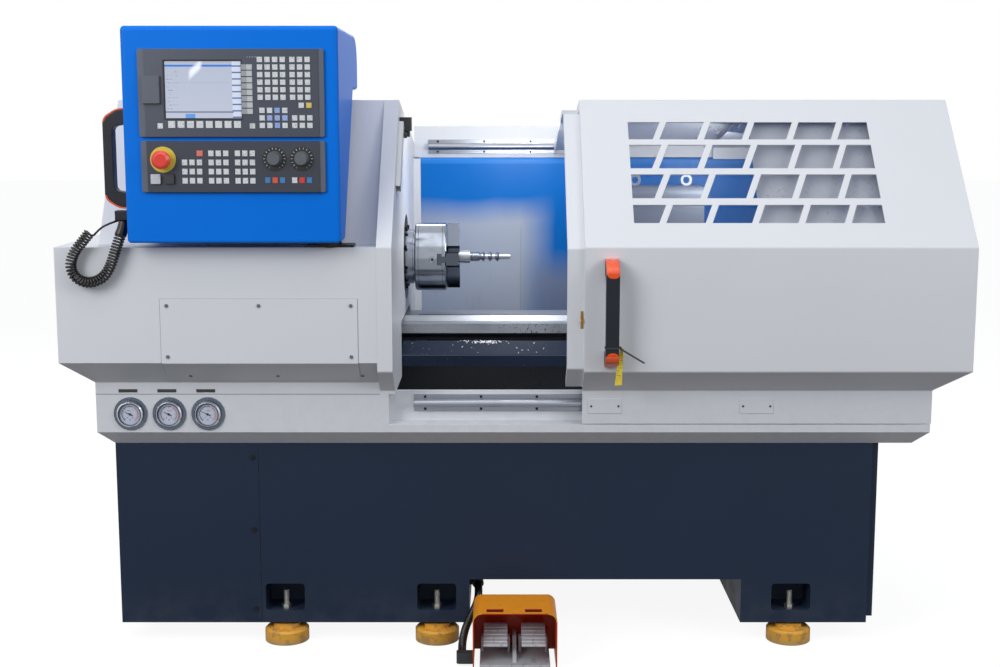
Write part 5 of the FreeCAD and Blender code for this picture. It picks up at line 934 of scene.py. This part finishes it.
# turned chips that lie on the screw's guard and in the bed's trough
chips = {
    "count": 76, "pile": 110, "length": 4.4, "wide": 1.3, "thick": 0.35, "seed": 7,
    "guardX": (-255.0, 1100.0), "guardY": (366, 401),
    "heapX": (-45.0, 30), "heapY": (393, 401),  # the heap's middle and spread along x
    "bedX": (-240, 1050), "bedY": (500, 690), "bedTop": 800, "from": 980,
}
seeds = random.Random(chips["seed"])
graph = bpy.context.evaluated_depsgraph_get()
fields = {name: BVHTree.FromObject(nodes[name], graph) for name in ("screw_guard", "bed")}
bm = bmesh.new()
placedChips = 0
for i in range(chips["count"] + chips["pile"]):
    field = "screw_guard" if i < chips["pile"] or i % 2 else "bed"
    if i < chips["pile"]:
        x, y = seeds.gauss(*chips["heapX"]), seeds.uniform(*chips["heapY"])
    elif i % 2:
        x, y = seeds.uniform(*chips["guardX"]), seeds.uniform(*chips["guardY"])
    else:
        x, y = seeds.uniform(*chips["bedX"]), seeds.uniform(*chips["bedY"])
    hit, slope = fields[field].ray_cast(spot(x, y, chips["from"]), Vector((0, 0, -1)))[:2]
    if hit is None or abs(slope.z) < 0.3 or (field == "bed" and hit.z * 1000 > chips["bedTop"]):
        continue
    slope = slope if slope.z > 0 else -slope
    long = chips["length"] * seeds.uniform(0.5, 1.3) / 1000
    made = block(bm, (long, chips["wide"] * seeds.uniform(0.6, 1.3) / 1000, chips["thick"] / 1000))
    across = [e for e in edgesAt(made) if abs(e.verts[0].co.x - e.verts[1].co.x) > 0.0005]
    bmesh.ops.subdivide_edges(bm, edges=across, cuts=2)
    whole = [v for v in bm.verts if v.co.length < 0.02]
    curl = seeds.uniform(0.3, 1.0) * 220
    for v in whole:
        v.co.z += curl * v.co.x ** 2 + chips["thick"] / 1900
    tilt = slope.to_track_quat("Z", "Y").to_matrix().to_4x4()
    spin = Matrix.Rotation(seeds.uniform(0, 6.28), 4, "Z")
    bmesh.ops.transform(bm, matrix=Matrix.Translation(hit) @ tilt @ spin, verts=whole)
    placedChips += 1
piece("turnedChips", bm, "chips", "machine")
print("tie, seal, sockets and", placedChips, "chips ready")


# camera and light
view = {"place": (0, -3700, 1418), "pitch": 8.4, "focal": 1450.0, "sensor": 36.0, "width": 1000}
camera = bpy.data.cameras.new("camera")
camera.sensor_width = view["sensor"]
camera.lens = view["focal"] * view["sensor"] / view["width"]
cameraObject = newObject("camera", camera)
cameraObject.location = spot(*view["place"])
cameraObject.rotation_euler = (math.radians(90 - view["pitch"]), 0, 0)
bpy.context.scene.camera = cameraObject

lamps = {
    "above": ((-0.2, -1.5, 4.4), (0.0, 0.1, 0.7), 3.6, 46),
    "left": ((-3.0, -3.5, 2.9), (0.0, 0.0, 0.9), 2.2, 96),
    "right": ((3.4, -3.3, 2.6), (0.3, 0.0, 0.9), 2.2, 60),
    "work": ((0.02, -0.03, 1.36), (-0.10, 0.40, 0.98), 0.20, 1.9),
    "behind": ((-0.8, 4.2, 3.2), (0.0, 0.4, 0.9), 2.6, 62),
    "tail": ((0.62, 0.10, 1.28), (0.35, 0.50, 1.00), 0.20, 1.2),
}
for name, (place, aim, size, power) in lamps.items():
    lamp = bpy.data.lights.new(name, "AREA")
    lamp.shape = "SQUARE"
    lamp.size = size
    lamp.energy = power
    lampObject = newObject(name, lamp)
    lampObject.location = place
    lampObject.rotation_euler = (Vector(aim) - Vector(place)).to_track_quat("-Z", "Y").to_euler()

world = bpy.data.worlds.new("studio")
bpy.context.scene.world = world
world.use_nodes = True
studio = {"soft": (0.84, 0.90, 1.0, 1.0), "dim": 0.34, "white": (1.0, 1.0, 1.0, 1.0)}
net = Net(world.node_tree)
seen, glossy, through = (
    net.add("ShaderNodeLightPath", out=f"Is {kind} Ray") for kind in ("Camera", "Glossy", "Transmission")
)
bright = seen.maths("MAXIMUM", glossy).maths("MAXIMUM", through)
soft = net.add("ShaderNodeBackground", values={0: studio["soft"], 1: studio["dim"]})
white = net.add("ShaderNodeBackground", values={0: studio["white"], 1: 1.0})
blend = net.add("ShaderNodeMixShader", values={0: bright, 1: soft, 2: white})
net.add("ShaderNodeOutputWorld", values={0: blend})

floor = {"size": 60.0, "seen": 0.78, "white": 1.17}
bm = bmesh.new()
bmesh.ops.create_grid(bm, x_segments=1, y_segments=1, size=floor["size"] / 2)
mesh = bpy.data.meshes.new("floor")
bm.to_mesh(mesh)
bm.free()
f = Finish("paleFloor")
ray = f.add("ShaderNodeLightPath", out="Is Camera Ray")
other = f.add("ShaderNodeLightPath", out="Is Glossy Ray")
dull = f.mix(f.noise(0.6, 2), (0.05, 0.05, 0.052, 1), (0.06, 0.06, 0.062, 1))
f.done(f.mix(ray, dull, (0.72, 0.72, 0.72, 1)), 0.9, rounding=0)
glow = f.add("ShaderNodeEmission", {}, {0: studio["white"], 1: floor["white"]})
share = ray.maths("MAXIMUM", other * 0.6) * floor["seen"]
mixed = f.add("ShaderNodeMixShader", {}, {0: share, 1: Wire(f, f.shader.outputs[0]), 2: glow})
f.tree.links.new(mixed.socket, f.end.inputs[0])
mesh.materials.append(f.material)
floorObject = newObject("floor", mesh)
bpy.context.scene.view_settings.view_transform = "Standard"
print("camera, lamps and floor ready")
